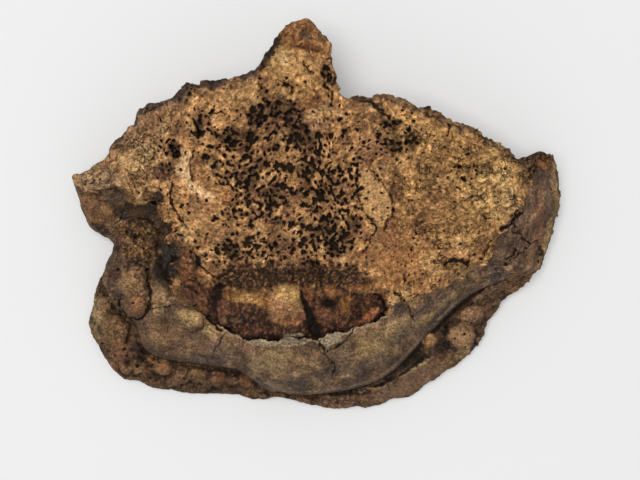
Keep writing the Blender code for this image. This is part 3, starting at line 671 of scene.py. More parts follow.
def flesh_surface(x, y):
    """The flesh's height, with crumbs and grains, less furrows and holes, and what its colours need."""
    inside, to_edge = depth_inside(torn_edge, x, y), depth_inside(outline, x, y)
    hole, fused = hole_level(x, y)
    uneven = 2.0 * rough(x, y, 5, 63)
    lump_zone = smooth_step(-y + uneven, 22, 27) * smooth_step(34 - x + uneven, 0, 4)
    lump_zone = lump_zone * smooth_step(x + 58 + uneven, 0, 6)
    trough = near_path(TROUGH, x, y, 3.6, 8.0, 1.5)
    patch, streak = within(SMOOTH_PATCH, x, y), within(PALE_STREAK, x, y)
    smooth = np.maximum(np.maximum(0.85 * patch, 0.5 * streak), 0.6 * spot(x, y, 38, -10, 11, 15))
    smooth = np.maximum(smooth, 0.5 * spot(x, y, -54, 14, 12, 10))
    crumb = crumbs(*shaken(x, y, 0.9, 3.4, (37, 38), 1), 4.4, 31, 4)
    grain = rough(x, y, 1.5, 45, 2)
    relief = (1 - smooth) * (1 - 0.4 * lump_zone) * (1 - 0.5 * trough) * (3.0 * crumb - 1.9) + 0.45 * grain
    relief = relief + 1.3 * rough(x, y, 11, 3, 2)
    lobe = lumps(LOBES, x, y, 0.7)
    wedge, flake = within(BLACK_WEDGE, x, y), within(LOOSE_FLAKE, x, y)
    z = flesh_level(x, y) + lumps(FLESH_LUMPS, x, y) + lobe + relief
    z = z - 2.2 * trough * (1 - lump_zone) - 1.2 * lump_zone - 4.5 * wedge + 1.6 * flake
    z = z - hollows(FLESH_HOLLOWS, x, y)
    groove = furrows(FLESH_FURROWS, x, y, 0.8)
    bore = smooth_step(hole, 0.0, 0.22) * (4.2 + 1.2 * hills(x, y, 6, 76)) * (1 - lump_zone)
    gaps = spots(CREVICES, x, y)
    crevice = fade(inside, -1.0, 2.4) * smooth_step(to_edge, 0.5, 5)
    edge_drop = 0.8 * rounded(to_edge, 1.6)
    broken = np.maximum(smooth_step(rough(x, y, 6, 67), -0.25, 0.35), 0.6 * smooth_step(x, 30, 45))
    facts = {
        "to_edge": to_edge, "inside": inside, "fused": fused, "relief": relief, "groove": groove,
        "trough": trough, "lump_zone": lump_zone, "lobe": lobe, "smooth": smooth, "patch": patch,
        "streak": streak, "wedge": wedge, "flake": flake,
        "hole": hole * (1 - lump_zone) - 0.5 * lump_zone,
        "crease": fade(crumb, 0.1, 0.5) * broken,
        "crevice": crevice * (0.3 + 0.7 * gaps) * (1 - flake),
    }
    return z - groove - bore - (1.0 + 2.6 * gaps) * crevice - edge_drop, facts


def frayed(x, y, to_edge):
    """Pushes places near the outline about by a millimetre or so, the most at the back, where the edge is
    torn, and chips the edge finely on the right."""
    torn_most = 0.5 + 0.7 * smooth_step(y, 25, 45) + 0.3 * smooth_step(x, 70, 90)
    near = fade(to_edge, 1.5, 7) * torn_most
    chips = 0.6 * fade(to_edge, 0.5, 3) * smooth_step(x, 50, 75)
    return (
        x + near * rough(x, y, 4.6, 131, 3) + chips * rough(x, y, 1.8, 137, 2),
        y + near * rough(x, y, 4.6, 135, 3) + chips * rough(x, y, 1.8, 139, 2),
    )


def frayed_front(x, y, facts):
    """The same, and near the torn edge by up to 3 mm more, so that flesh meets crust in a ragged line."""
    near = fade(facts["inside"], 0, 6) * smooth_step(facts["to_edge"], 1, 6)
    x, y = frayed(x, y, facts["to_edge"])
    far = near * (1.3 + 1.2 * smooth_step(-x, 30, 55))
    return shaken(x, y, far, 7, (151, 155), 3)


# %% [markdown]
# The dry flesh is tan where it is fresh-torn, and dark red-brown where it was wet or burrowed. The washes
# go from the large zones to the small marks. Creases, holes and hollows come last and are the darkest: that
# dark is painted shade, and the tops of the crumbs are painted lighter, as light falls on them.

# %% Colours of the flesh
KNOB_SKIN = [(-30, 80), (-27, 84), (-23.6, 89.6), (-20, 95.6)]
FLESH_SPOTS = [
    ("#9C6C40", 0.8, 38, -10, 11, 16, 0.5), ("#7A563A", 0.7, 36, 24, 3.4, 9),
    ("#BF965E", 0.8, -18, 84, 9, 8), ("#DDB680", 0.8, -17.6, 86, 3.2, 4, 0.4, 20),
    ("#BC9058", 0.6, -6, 74, 10, 8, 0.5), ("#8A5E38", 0.9, -8, 99, 13, 8, 0.3),
    ("#433C36", 0.8, -7, 97.6, 3, 2.4, 0.35), ("#5A4020", 0.6, 2.6, 78, 3, 8),
    ("#6A4030", 0.7, -7, 92.6, 4, 1.6), ("#3A2D24", 0.9, -24.6, 88, 2, 6, 0.3, -30),
    ("#4A3A2C", 0.7, 1, 97, 3, 3, 0.3), ("#A06A40", 0.7, -3, 66, 4, 5, 0.5),
    ("#D0AA78", 0.7, -1, 61, 6, 2.4, 0.5, 20), ("#725548", 0.6, -2, 54.6, 6, 2.4, 0.5),
    ("#5C3D31", 0.85, -74, 33, 5.5, 4.5), ("#CBA672", 0.85, -86, 40, 9, 7, 0.4, 40),
    # The near-black spot at (-78.5, 19) is painted shadow in the hollow under the wing's ledge.
    ("#2B2420", 0.95, -78.5, 19, 4.6, 4, 0.25), ("#9C7F60", 0.9, -106, 29.6, 12, 7, 0.3),
    ("#B58E60", 0.8, -86, 22.6, 6, 5, 0.3), ("#5C4A39", 0.85, -100, 21, 8, 3.6, 0.35),
    ("#4A3C30", 0.7, -97, 22, 6, 3), ("#6D4930", 0.92, -63, -14, 6, 11, 0.3),
    ("#8A5A34", 0.8, -61, -20, 3.4, 3.4), ("#7A4A2C", 0.6, -65, -13, 2.4, 4, 0.5),
    # The two grey-black spots at (-70.4, -4.4) and (-71, -12) are painted shade in the deep hollow beside the
    # torn edge, and the black one at (-58.5, -11) is painted shade in a pit.
    ("#34302C", 0.95, -70.4, -4.4, 4.6, 4.6, 0.3), ("#34302C", 0.95, -71, -12, 4, 6.6, 0.3),
    ("#1E1612", 0.8, -58.5, -11, 2, 3.4, 0.3, 20), ("#B99468", 0.8, -65, 2, 5, 4),
    ("#A87D50", 0.6, -50, 5, 12, 8, 0.5), ("#97633C", 0.6, -42, 20, 5, 4, 0.5),
    ("#80553A", 0.6, 32, 2, 6, 8, 0.5), ("#7A5038", 0.5, 50, 8, 10, 6, 0.5, 20),
    ("#D3AC70", 0.75, 83, 26, 10, 14, 0.5), ("#CDA676", 0.5, 90, 18, 5, 8, 0.5),
    ("#98794E", 0.9, 65, -15.6, 6, 3.4, 0.25), ("#86603A", 0.6, 84, -4, 5, 6, 0.5),
    ("#8E603C", 0.95, 105, 38, 8, 4, 0.3), ("#6C5038", 0.7, 99, 31, 5, 8),
    ("#C09A66", 0.7, 38, -27, 6, 3, 0.4, 25), ("#BC9460", 0.6, 54, -12, 6, 5),
    ("#7A563A", 0.5, 56, 22, 9, 3, 0.4, 30), ("#6B4C38", 0.3, 30, 40, 8, 5, 0.5),
    ("#5E4230", 0.6, -22, 58, 17, 9, 0.5), ("#7B5A48", 0.4, 24, 45, 6, 5, 0.5),
    ("#4A2E22", 0.92, -57, -27, 5.5, 9, 0.35, 10), ("#55372A", 0.92, -64.5, -24, 5, 4, 0.35),
    ("#7A4A30", 0.6, -56, -30, 2.4, 4), ("#2E231D", 0.8, -60, 73, 4, 2.4, 0.3),
    ("#2E231D", 0.8, -50, 75, 3, 2, 0.3), ("#2E231D", 0.8, -35, 78.6, 3, 1.6, 0.3, 10),
    ("#5A3E28", 0.15, -20, -3, 26, 6, 0.5), ("#AD8673", 0.25, -89, 50, 8, 7, 0.5),
    ("#C49A66", 0.5, -46, 67, 13, 6, 0.5, 10), ("#CFA269", 0.5, 40, 52, 12, 8, 0.5),
    ("#5A4434", 0.7, -66, 66, 5, 4, 0.4, 30), ("#8A6A4C", 0.5, -78, 58, 9, 5, 0.5, 30),
    ("#3A2B23", 0.8, 22, 66.6, 8, 1.8, 0.3, -16),
]
# Painted light and shade on the lumps: the cushion's bright top at (-15.4, -25.8) is a painted highlight, and
# its darker lower edge at (-16, -38.8) is painted shade. The pale crest at (-35.6, -27.4) is pale tissue with
# a painted highlight on top. The lower fronts at (-34, -38), (-30, -42.6) and (-15, -43) are dark red-brown
# tissue with painted shade. The near-black spots at (3.8, -29.8), (-48.8, -25.6) and (17.8, -32.8) are
# painted shade in hollows and a slit.
LUMP_SPOTS = [
    ("#AD834F", 0.92, -35.6, -27.4, 8.4, 2.7, 0.5, -4), ("#9A6C3E", 0.85, -27, -29.4, 4.4, 2.8, 0.5, -30),
    ("#7A5030", 0.8, -43.6, -25.6, 3, 2.6, 0.5), ("#BC965E", 0.95, -15.4, -25.8, 7, 3.8, 0.5, -6),
    ("#744A2C", 0.7, -16, -38.8, 6, 1.8, 0.5), ("#6B4030", 0.7, -8.8, -37.4, 1.8, 3),
    ("#3A2A20", 0.7, -15.2, -36.6, 1.4, 1.4), ("#74492E", 0.8, -5.4, -26.6, 2.4, 4.4, 0.4, 20),
    ("#94643C", 0.85, 5, -24.4, 2.8, 4, 0.35, 25), ("#6A4530", 0.85, 3, -36.4, 5, 4),
    ("#84592F", 0.85, 13.2, -30.6, 3.4, 4.4, 0.45), ("#2E2019", 0.85, 17.8, -32.8, 2.8, 5.2, 0.35),
    ("#8A5C38", 0.8, 19.6, -23, 6.6, 2, 0.4, -8), ("#A2603E", 0.9, 23.4, -36.4, 6.2, 2, 0.35, 36),
    ("#17100D", 0.9, 3.8, -29.8, 2.6, 2.2, 0.35), ("#140E0B", 0.97, -48.8, -25.6, 2.2, 6.6, 0.3, -8),
    ("#7A6450", 0.8, -40, -38.4, 3, 1, 0.3, -10), ("#8E7052", 0.7, -46, -38.2, 1.4, 1.4, 0.3),
    ("#6B4430", 0.7, -46, -32, 3, 4, 0.4, 20), ("#4A342B", 0.7, -15, -43, 8, 2.2),
    ("#55352A", 0.6, -30, -42.6, 7, 2.4), ("#8E6A48", 0.8, 24.6, -40.4, 5, 1.2, 0.3, 20),
    ("#7A5136", 0.5, 0.5, -31, 3, 7, 0.5, 10), ("#231713", 0.45, -34, -38, 9, 4.5, 0.5),
    ("#6E4C34", 0.12, 19, -33, 10, 8, 0.5),
]
BLACK_PITS = [
    (3.8, -29.9, 2.4, 1.9), (-48.4, -25, 1.5, 4.6), (-50.2, -31, 1.3, 3.4), (-58.1, -9.8, 1.4, 2.3),
]


def flesh_colours(x, y, facts):
    """The flesh's tint, how much painted shade its holes, grooves and crevices get, and how thickly it is
    cracked into crumbs.
    """
    patchy, speckle = cloud(x, y, 8, 101), cloud(x, y, 2.2, 105)
    fine = cloud(x, y, 1.1, 111, 2)
    calm = 1 - 0.6 * np.maximum(facts["patch"], 0.5 * facts["streak"])
    speckle, fine = 0.5 + calm * (speckle - 0.5), 0.5 + calm * (fine - 0.5)
    fibres = spot(x, y, 38, -12, 12, 15) * hills(x + 0.2 * y, 0.16 * y, 1.1, 113)
    lumpy, trough, to_edge = facts["lump_zone"], facts["trough"], facts["to_edge"]
    left, right = smooth_step(-x, 28, 34), smooth_step(x, 10, 16)
    brown = smooth_step(rough(x, y, 5.5, 103), 0.15, 0.6) * (1 - facts["smooth"])
    fibrous, cushion = rough(x, y * 0.6, 1.3, 108, 2), within(CUSHION, x, y, 0.8, 1.3)
    back = fade(to_edge + 3.0 * rough(x, y, 6, 109), 1.0, 4.6)
    bark = smooth_step(hills(x, y, 9, 127) - 0.22 * to_edge, -0.35, -0.05) * left * smooth_step(y, 40, 48)
    tint = washed(
        np.broadcast_to(linear("#B98B59"), x.shape + (3,)),
        ("#946B47", smooth_step(patchy, 0.4, 0.8)),
        ("#D2A776", smooth_step(-patchy, -0.4, -0.05) * 0.7),
        ("#AC8550", smooth_step(x, 26, 50) * smooth_step(y, -12, 8) * 0.6),
        ("#A88560", smooth_step(-x, 60, 80) * smooth_step(y, 20, 30) * 0.5),
    )
    tint = washed(
        washed_spots(tint, FLESH_SPOTS, x, y),
        ("#7C5839", 0.6 * brown),
        ("#D5AE80", 0.95 * facts["streak"]),
        ("#AE8658", 0.95 * facts["patch"]),
        ("#3A291B", trough),
        ("#7A5535", 0.6 * trough * smooth_step(fine, 0.6, 0.85)),
        ("#251A14", trough * smooth_step(1 - fine, 0.6, 0.85)),
        ("#3B2E27", near_path(KNOB_SKIN, x, y, 0.8, 2.4, 0.8)),
        ("#30211A", lumpy),
        ("#5C3524", lumpy * smooth_step(hills(x, y * 0.4, 4, 107), 0.0, 0.5) * 0.5),
        ("#A07650", 0.95 * cushion),
    )
    tint = washed(
        washed_spots(tint, LUMP_SPOTS, x, y),
        ("#925E36", lumpy * smooth_step(fibrous, 0.15, 0.8) * 0.5),
        ("#140E0B", lumpy * smooth_step(-fibrous, 0.1, 0.7) * (0.4 - 0.3 * cushion)),
        ("#6A5444", 0.4 * back * left * smooth_step(x + 104, 0, 8)),
        ("#5E4836", 0.7 * back * right),
        ("#3A302B", 0.8 * bark),
        ("#6C4E3A", 0.5 * crowding(x, y) * smooth_step(patchy, 0.3, 0.8)),
    )
    gritty = np.maximum(np.maximum(lumpy, trough), spot(x, y, -62, -15, 9, 13))
    gritty = np.maximum(gritty * (1 - 0.4 * lumpy), 0.6 * spot(x, y, -8, 99, 13, 8))
    tint = grit(tint, x, y, 0.6 * gritty, "#94694A", "#150F0C")
    # The black wedge is a deep slit, painted near-black as the shade in it. The loose flake is pale.
    tint = washed(tint, ("#1B1410", 0.92 * facts["wedge"]), ("#857A62", 0.9 * facts["flake"]))
    # Painted light and shade: the tops of the crumbs and of the lobes are made lighter and the low places
    # darker, as light falls on them. The creases between the crumbs and a ring round each hole get painted
    # shade. Where the holes fuse, the flesh is a darker brown of its own, with painted shade in the recess.
    relief_lighting = 0.2 * np.clip(facts["relief"], -2, 2) * (1 - lumpy) + 0.05 * facts["lobe"] * lumpy
    tint = tint * ((0.72 + 0.96 * speckle) * (0.78 + 0.44 * fine) * (1 + 0.2 * fibres))[..., None]
    tint = washed(
        tint * (1 + relief_lighting)[..., None],
        ("#34231A", 0.7 * facts["crease"] * (1 - facts["smooth"])),
        ("#38261A", 0.62 * facts["fused"]),
        ("#463225", 0.5 * smooth_step(facts["hole"], -0.32, 0.0)),
    )
    # Painted shade: holes, grooves, crevices and black pits are made nearly black in the material, as the
    # shade in them, and less so in the trough.
    dark = np.max([
        smooth_step(facts["hole"], -0.05, 0.1), 0.9 * smooth_step(facts["groove"], 1.2, 3.2),
        smooth_step(facts["crevice"], 0.3, 0.9), 0.9 * spots(BLACK_PITS, x, y, 0.4),
    ], 0)
    outer_parts = np.maximum(smooth_step(x, 28, 44), 0.8 * smooth_step(-x, 55, 75))
    crumbly = (0.2 + 0.8 * outer_parts * (1 - facts["smooth"])) * smooth_step(rough(x, y, 13, 129), -0.7, 0.1)
    crumbly = np.maximum(crumbly, 0.4 * smooth_step(y, 66, 78))
    return tint, dark * (1 - 0.8 * facts["trough"]), crumbly


# %% The flesh's two meshes
CLIFF_STEPS = np.array([0.12, 0.3, 0.5, 0.75, 1.0])
FLESH_FLOOR = 20.0


def flesh_piece(name, grid):
    """A grid of the flesh as a closed body: the surface, a cliff down from its rim, and a fan at its foot."""
    x, y = grid
    z, facts = flesh_surface(x, y)
    tint, dark, crumbly = flesh_colours(x, y, facts)
    across, along = x.shape
    number = np.arange(across * along).reshape(across, along)
    cells = [number[:-1, :-1], number[1:, :-1], number[1:, 1:], number[:-1, 1:]]
    rim = np.concatenate([number[:-1, 0], number[-1, :-1], number[:0:-1, -1], number[0, :0:-1]])
    top = true_place(*frayed_front(x, y, facts), z).reshape(-1, 3)
    middle = top[rim].mean(0)
    foot = np.minimum(top[rim, 2] - 5, crust_level(x.ravel()[rim], y.ravel()[rim]) - 3)
    drop = CLIFF_STEPS[:, None] * (top[rim, 2] - np.maximum(foot, 3))
    uneven = 0.04 + 0.012 * rough(top[rim, 0] + 0 * drop, top[rim, 1] + 2 * drop, 5, 66)
    below = top[rim] + (CLIFF_STEPS[:, None] * uneven)[..., None] * (middle - top[rim]) * (1, 1, 0)
    below[..., 2] -= drop
    rows = np.concatenate([rim[None], len(top) + np.arange(below.shape[0] * len(rim)).reshape(-1, len(rim))])
    after = np.roll(rows, -1, 1)
    sides = [rows[:-1], after[:-1], after[1:], rows[1:]]
    quads = np.concatenate([np.stack(four, -1).reshape(-1, 4) for four in (cells, sides)])
    last = len(top) + below.shape[0] * len(rim)
    fan = np.stack([rows[-1], after[-1], np.full(len(rim), last)], -1)
    places = np.concatenate([top, below.reshape(-1, 3), [(middle[0], middle[1], FLESH_FLOOR)]])
    order = np.concatenate([np.arange(len(top)), np.tile(rim, len(CLIFF_STEPS)), rim[:1]])
    print(name, "stands", round(float(z.min()), 1), "to", round(float(z.max()), 1), "mm high")
    # Painted shade: the cliff below the torn edge is made darker where it stands in a crevice by the crust.
    hollow, crevice_wall_shade = dark.ravel()[order], 0.7 * smooth_step(facts["to_edge"].ravel()[rim], 2, 5)
    deep = (np.minimum(1, 2 * CLIFF_STEPS)[:, None] * crevice_wall_shade).ravel()
    hollow[len(top) : last] = np.maximum(hollow[len(top) : last], deep)
    whole = {"tint": tint.reshape(-1, 3)[order], "hollow": hollow, "crumbly": crumbly.ravel()[order]}
    return closed_body(name, places, quads, fan, whole)


bored_flesh = flesh_piece("bored_flesh", left_half)
crumbly_flesh = flesh_piece("crumbly_flesh", right_half)

# %% [markdown]
# ## The crust of the upper shelf
# The crust is the hard skin of the shelf, about 2 mm thick, smooth and grey-brown. It starts at a broken
# edge beside the flesh and ends at a rounded lip that hangs over the rim. Its cross-section is a closed
# loop that is carried round the front, from the right corner to the tip of the left wing.

# %% Spokes across the crust
CRUST_HUB = np.array([0.0, 30.0])
CRUST_FROM, CRUST_TO = np.radians(3.5), np.radians(-179.2)
CRUST_SPOKES, CRUST_ACROSS = 930, 92
SPOKE_STEP = 0.4  # about how far apart the spokes are along the crust
DRAWN_IN = 1.8  # how far the lip stays behind the part's lip on the right, where crust and rim have merged


def even_spokes(start, stop, radius_of, count, weight_of=None):
    """Angles so spaced that a point running along radius_of moves about the same distance at each step."""
    angle = np.linspace(start, stop, 6001)
    r = radius_of(angle)
    step = np.hypot(np.diff(r * np.cos(angle)), np.diff(r * np.sin(angle)))
    if weight_of is not None:
        step = step * weight_of((angle[1:] + angle[:-1]) / 2)
    run = np.concatenate([[0], np.cumsum(step)])
    return np.interp(np.linspace(0, run[-1], count), run, angle)


def crust_span(angle):
    """The distances from the hub to the torn edge and to the lip, which never passes the outline."""
    inner = reach(torn_edge, CRUST_HUB, angle)
    outer = np.minimum(reach(upper_shelf, CRUST_HUB, angle), reach(outline, CRUST_HUB, angle) - 0.4)
    return inner, outer


spokes = even_spokes(CRUST_FROM, CRUST_TO, lambda a: sum(crust_span(a)) / 2, CRUST_SPOKES)
inner, outer = crust_span(spokes)
lip_x = CRUST_HUB[0] + outer * np.cos(spokes)
outer = outer - DRAWN_IN * smooth_step(lip_x, 25, 45) * fade(lip_x, 72, 84)
inner = np.minimum(inner, outer - 1.0)
width = outer - inner
print(f"the crust is {width.min():.1f} to {width.max():.1f} mm wide")

# %% Heights of the crust
CRUST_LUMPS = [
    (-94.5, -16.5, 6, 6, 4.4), (-87.5, -17.5, 6.5, 6, 5), (-92, -22.5, 6, 5, 4.6), (-86, -24, 4.6, 4, 4),
    (-98.6, -21, 4, 4, 2.6), (-88.4, -31, 6, 6, 6.6), (-77, -24, 5.5, 7, 3.4), (-62, -37.4, 8, 6, 2.6),
    (-53, -44, 5, 4, 2), (-14, -60, 18, 11, 3.5), (-101, -27.6, 3, 3, 3), (-106, 13, 9, 10, 2.6),
    (-84, -5, 4, 4, 2.4), (-90, 5, 6, 4, 3), (-81, 5, 4, 4, 3), (-96, -6, 3.4, 3.4, 3),
    (-92, -10, 4, 3, 2.6), (10, -58, 9, 8, 1.2), (30, -52, 14, 8, 1.6), (-75, -46, 7, 8, 2.4),
    (83, -16, 5, 3, 1.4), (97, -11, 5, 6, 1.4), (-36, -52, 6, 5, 1.2),
]
CRUST_HOLLOWS = [
    (-87, 13, 10, 3.6, 4), (-74, -2, 3.4, 5, 3), (-72.6, -13, 3.2, 6, 3), (-97, -1, 3, 3, 1.6),
    (-69, -43, 4, 5, 1.4),
]
CRUST_FURROWS = [
    ([(-82.6, -34), (-76, -32), (-70, -31), (-64, -28.6)], 0.45, 2),
    ([(-44.6, -44.6), (-47, -47), (-48.6, -50), (-51, -53)], 0.5, 2),
    ([(-1, -48), (2.4, -53.4), (5, -57), (7, -60), (5.6, -64.6)], 0.55, 2),
    ([(16, -42.4), (11.6, -48.4), (3, -53.6)], 0.7, 2.4),
    ([(41, -29), (42, -32), (43, -34.6), (45.2, -38.4)], 0.55, 2.2),
    ([(91, 4.6), (94.6, 3), (99.4, -1.8), (104, 0.6)], 0.6, 2.2),
    ([(88, 4.6), (92.4, 9.6), (96, 13.6)], 0.9, 3.5), ([(99.4, -1.8), (96, -6), (90, -10)], 0.5, 1.6),
    ([(92, 9), (95, 2.6)], 0.4, 1.4), ([(104, -3), (107, -7), (105, -11)], 0.6, 2),
    ([(-82.4, -14), (-81.6, -20), (-80.8, -27), (-82, -32)], 0.9, 3),
    ([(-95, -27.6), (-95, -32.6), (-92, -36.4), (-87.6, -37.6), (-83.6, -36), (-81.4, -32)], 0.9, 3),
    ([(-97, -11), (-99, -15), (-101, -20)], 0.5, 1.4), ([(-58, -32.6), (-53, -38), (-47, -43)], 1, 2.6),
    ([(-56, -37), (-55, -41), (-60, -43.6), (-66, -42)], 0.5, 1.4),
    ([(-97, 8), (-92, 10.6), (-84, 10.6), (-79, 8)], 0.7, 2),
    ([(78.6, -13), (76, -17), (79, -20)], 0.4, 1.2), ([(60, -19), (64, -23), (69, -24)], 0.4, 1),
    ([(83, -13), (86, -18)], 0.5, 1.6), ([(93.3, -5.2), (91, -7.4), (88.8, -8.9)], 0.6, 2),
    ([(-42, -50), (-35, -57), (-28, -63), (-20, -69)], 0.8, 1),
    ([(-26, -60), (-22, -66), (-12, -70)], 0.6, 0.8), ([(-88, -44), (-80, -42), (-72, -44)], 0.5, 1),
    ([(-76, -50), (-62, -54), (-48, -56)], 0.6, 1),
    ([(6, -68), (22, -64), (36, -57), (48, -48), (58, -38), (70, -28)], 0.9, 1),
    ([(14, -60), (18, -56), (20, -52)], 0.4, 0.9), ([(24, -47), (36, -42), (50, -32)], 0.6, 0.7),
]
BACK_PLATE = [
    (-5.6, -45), (-2, -43), (4, -42), (11, -41), (12.6, -43.6), (10, -46.4), (10.6, -48), (6, -50),
    (3.4, -52.2), (1, -49.8), (-3.4, -48),
]
FRONT_PLATE = [
    (-33, -47.4), (-27, -46.4), (-18, -47.4), (-8, -47.8), (-6, -49), (-10, -50.4), (-18, -50.6),
    (-27, -51), (-32, -50),
]
CRUST_RIDGES = [
    [(-32.4, -52.6), (-31.6, -60), (-27, -67), (-18, -70.8)], [(-28.6, -57), (-25.6, -65), (-19, -69.6)],
    [(-14, -70.6), (-4, -69.6), (8, -66), (20, -61.4), (32, -55)],
    [(89, 2), (86, -8), (82, -16), (77.5, -22.4)], [(87, -1), (84.4, -8), (80, -16)],
]
PIN_HOLES = [
    (88.5, -11.6, 1.1), (97, 17.4, 1.1), (-89, -30, 0.8), (105, -7, 0.9), (104, -10, 0.8), (-96, -14, 1),
    (-93, -52, 0.9), (-87, -60, 1.2), (-79, -56.6, 0.9), (-76.6, -58.4, 0.7), (68.8, -44.9, 0.7),
    (64.3, -46.8, 0.7), (69, -51, 0.7), (-97.6, -55, 0.7), (-88, 1, 0.9), (-84, -4, 0.8), (-92, 4, 0.8),
    (-64.8, -66, 0.8), (-66, -69.3, 0.6), (-103.6, -49, 0.7), (-92, -55, 0.9), (59, -48.9, 0.8),
    (51, -69, 0.6),
]


def pin_holes(x, y):
    """1 in the middle of each round hole that one insect bored, and 0 outside."""
    total = np.zeros(x.shape)
    for cx, cy, radius in PIN_HOLES:
        total = np.maximum(total, fade(np.hypot(x - cx, y - cy), 0.5 * radius, radius))
    return total


def crust_surface(x, y, along, across):
    """The crust's height: levels, lumps, plates and fine ridges less cracks and holes, softly uneven,
    wrinkled along the band and rough on the terrace. Also what its colours need."""
    groove = furrows(CRUST_FURROWS, x, y, 0.9)
    terrace = np.maximum(spot(x, y, -87, 3, 10, 8), spot(x, y, -86, -8, 9, 6))
    terrace = np.maximum(terrace, 0.4 * spot(x, y, -86, 14, 12, 5))
    plates = np.maximum(within(BACK_PLATE, x, y), within(FRONT_PLATE, x, y))
    wrinkle = hills(along * 0.14, across, 1.7, 16) + 0.6 * hills(along * 0.3, across, 1.1, 17)
    ends = smooth_step(abs(x - 5), 30, 60)
    uneven = 1.4 * rough(x, y, 12, 11, 3) + 0.4 * rough(x, y, 3.4, 15, 3) + (0.14 + 0.14 * ends) * wrinkle
    crumb = crumbs(x, y, 3.8, 18, 4)
    ridge = np.max([near_path(path, x, y, 0.1, 1.0, 1.6) for path in CRUST_RIDGES], 0)
    ridge = ridge * smooth_step(rough(x, y, 7, 143), -0.4, 0.3)
    z = crust_level(x, y) + lumps(CRUST_LUMPS, x, y) + 0.8 * plates + 0.4 * ridge
    z = z - groove - 2.4 * pin_holes(x, y)
    z = z - hollows(CRUST_HOLLOWS, x, y)
    lumpy = 0.35 * smooth_step(-x, 78, 84) * smooth_step(y, -36, -30)
    z = z + uneven + np.maximum(terrace, lumpy) * (4.0 * crumb - 2.2)
    return z, (groove, terrace, uneven, wrinkle, crumb, plates, ridge)


run = np.arange(CRUST_SPOKES) * SPOKE_STEP
torn = 1.3 * rough(run, run * 0, 9, 51, 2) + 0.6 * rough(run, run * 0, 2.6, 55, 2)
share = np.linspace(0, 1, CRUST_ACROSS)[None, :]
cr = (inner + torn * np.minimum(1, width / 6))[:, None] * (1 - share) + outer[:, None] * share
cx = CRUST_HUB[0] + cr * np.cos(spokes)[:, None]
cy = CRUST_HUB[1] + cr * np.sin(spokes)[:, None]
to_lip = (1 - share) * width[:, None]
cz, crust_facts = crust_surface(cx, cy, run[:, None] + 0 * cx, to_lip)
crust_groove, crust_terrace, crust_uneven, wrinkle, crust_crumb, plates, ridge = crust_facts
lip_gap = depth_inside(outline, cx[:, -1], cy[:, -1])
hanging = smooth_step(lip_gap, 0.5, 4)
rim_under = rim_level(cx[:, -1], cy[:, -1])
lip_drop = np.where(hanging > 0, hanging * np.clip(cz[:, -1] - rim_under, 3, 14), 0) + (1 - hanging) * 3
round_lip = np.minimum(3.4, width)[:, None]
cz = cz - 2.0 * rounded(to_lip, round_lip)
print(f"the lip drops {lip_drop.min():.1f} to {lip_drop.max():.1f} mm")

# %% The crust's cross-section and mesh
EDGE_STEPS = [(3, 7), (1.4, 5.4), (0.6, 3.8), (0.15, 2.2), (0, 1), (0.1, 0.3)]
LIP_STEPS = [(0.5, 0.05), (0.8, 0.16), (0.9, 0.32), (0.5, 0.5), (-0.8, 0.72), (-3, 0.9), (-7, 1)]
LIP_OVERHANG = 0.7
narrow = np.minimum(1, width / 8)


def ragged_place(x, y, z):
    """A place on the crust: frayed near the outline, and then moved to the real place."""
    return true_place(*frayed(x, y, depth_inside(outline, x, y)), z)


def section(base_r, out, base_z, down):
    """A column of the cross-section: a ring of places at a distance out from a line and a height below it."""
    r = base_r + out
    return ragged_place(CRUST_HUB[0] + r * np.cos(spokes), CRUST_HUB[1] + r * np.sin(spokes), base_z - down)


flake = 0.35 * rough(run, run * 0, 2.4, 57, 2)
columns = []
for out, down in EDGE_STEPS:
    columns.append(section(cr[:, 0], out * narrow + (flake if 0 < out < 2 else 0), cz[:, 0], down))
columns += list(np.moveaxis(ragged_place(cx, cy, cz), 1, 0))
for out, down in LIP_STEPS:
    push = (out * LIP_OVERHANG * hanging if out > 0 else out) * narrow
    columns.append(section(outer, push, cz[:, -1], down * lip_drop))
crust_rings = np.stack(columns, 1)

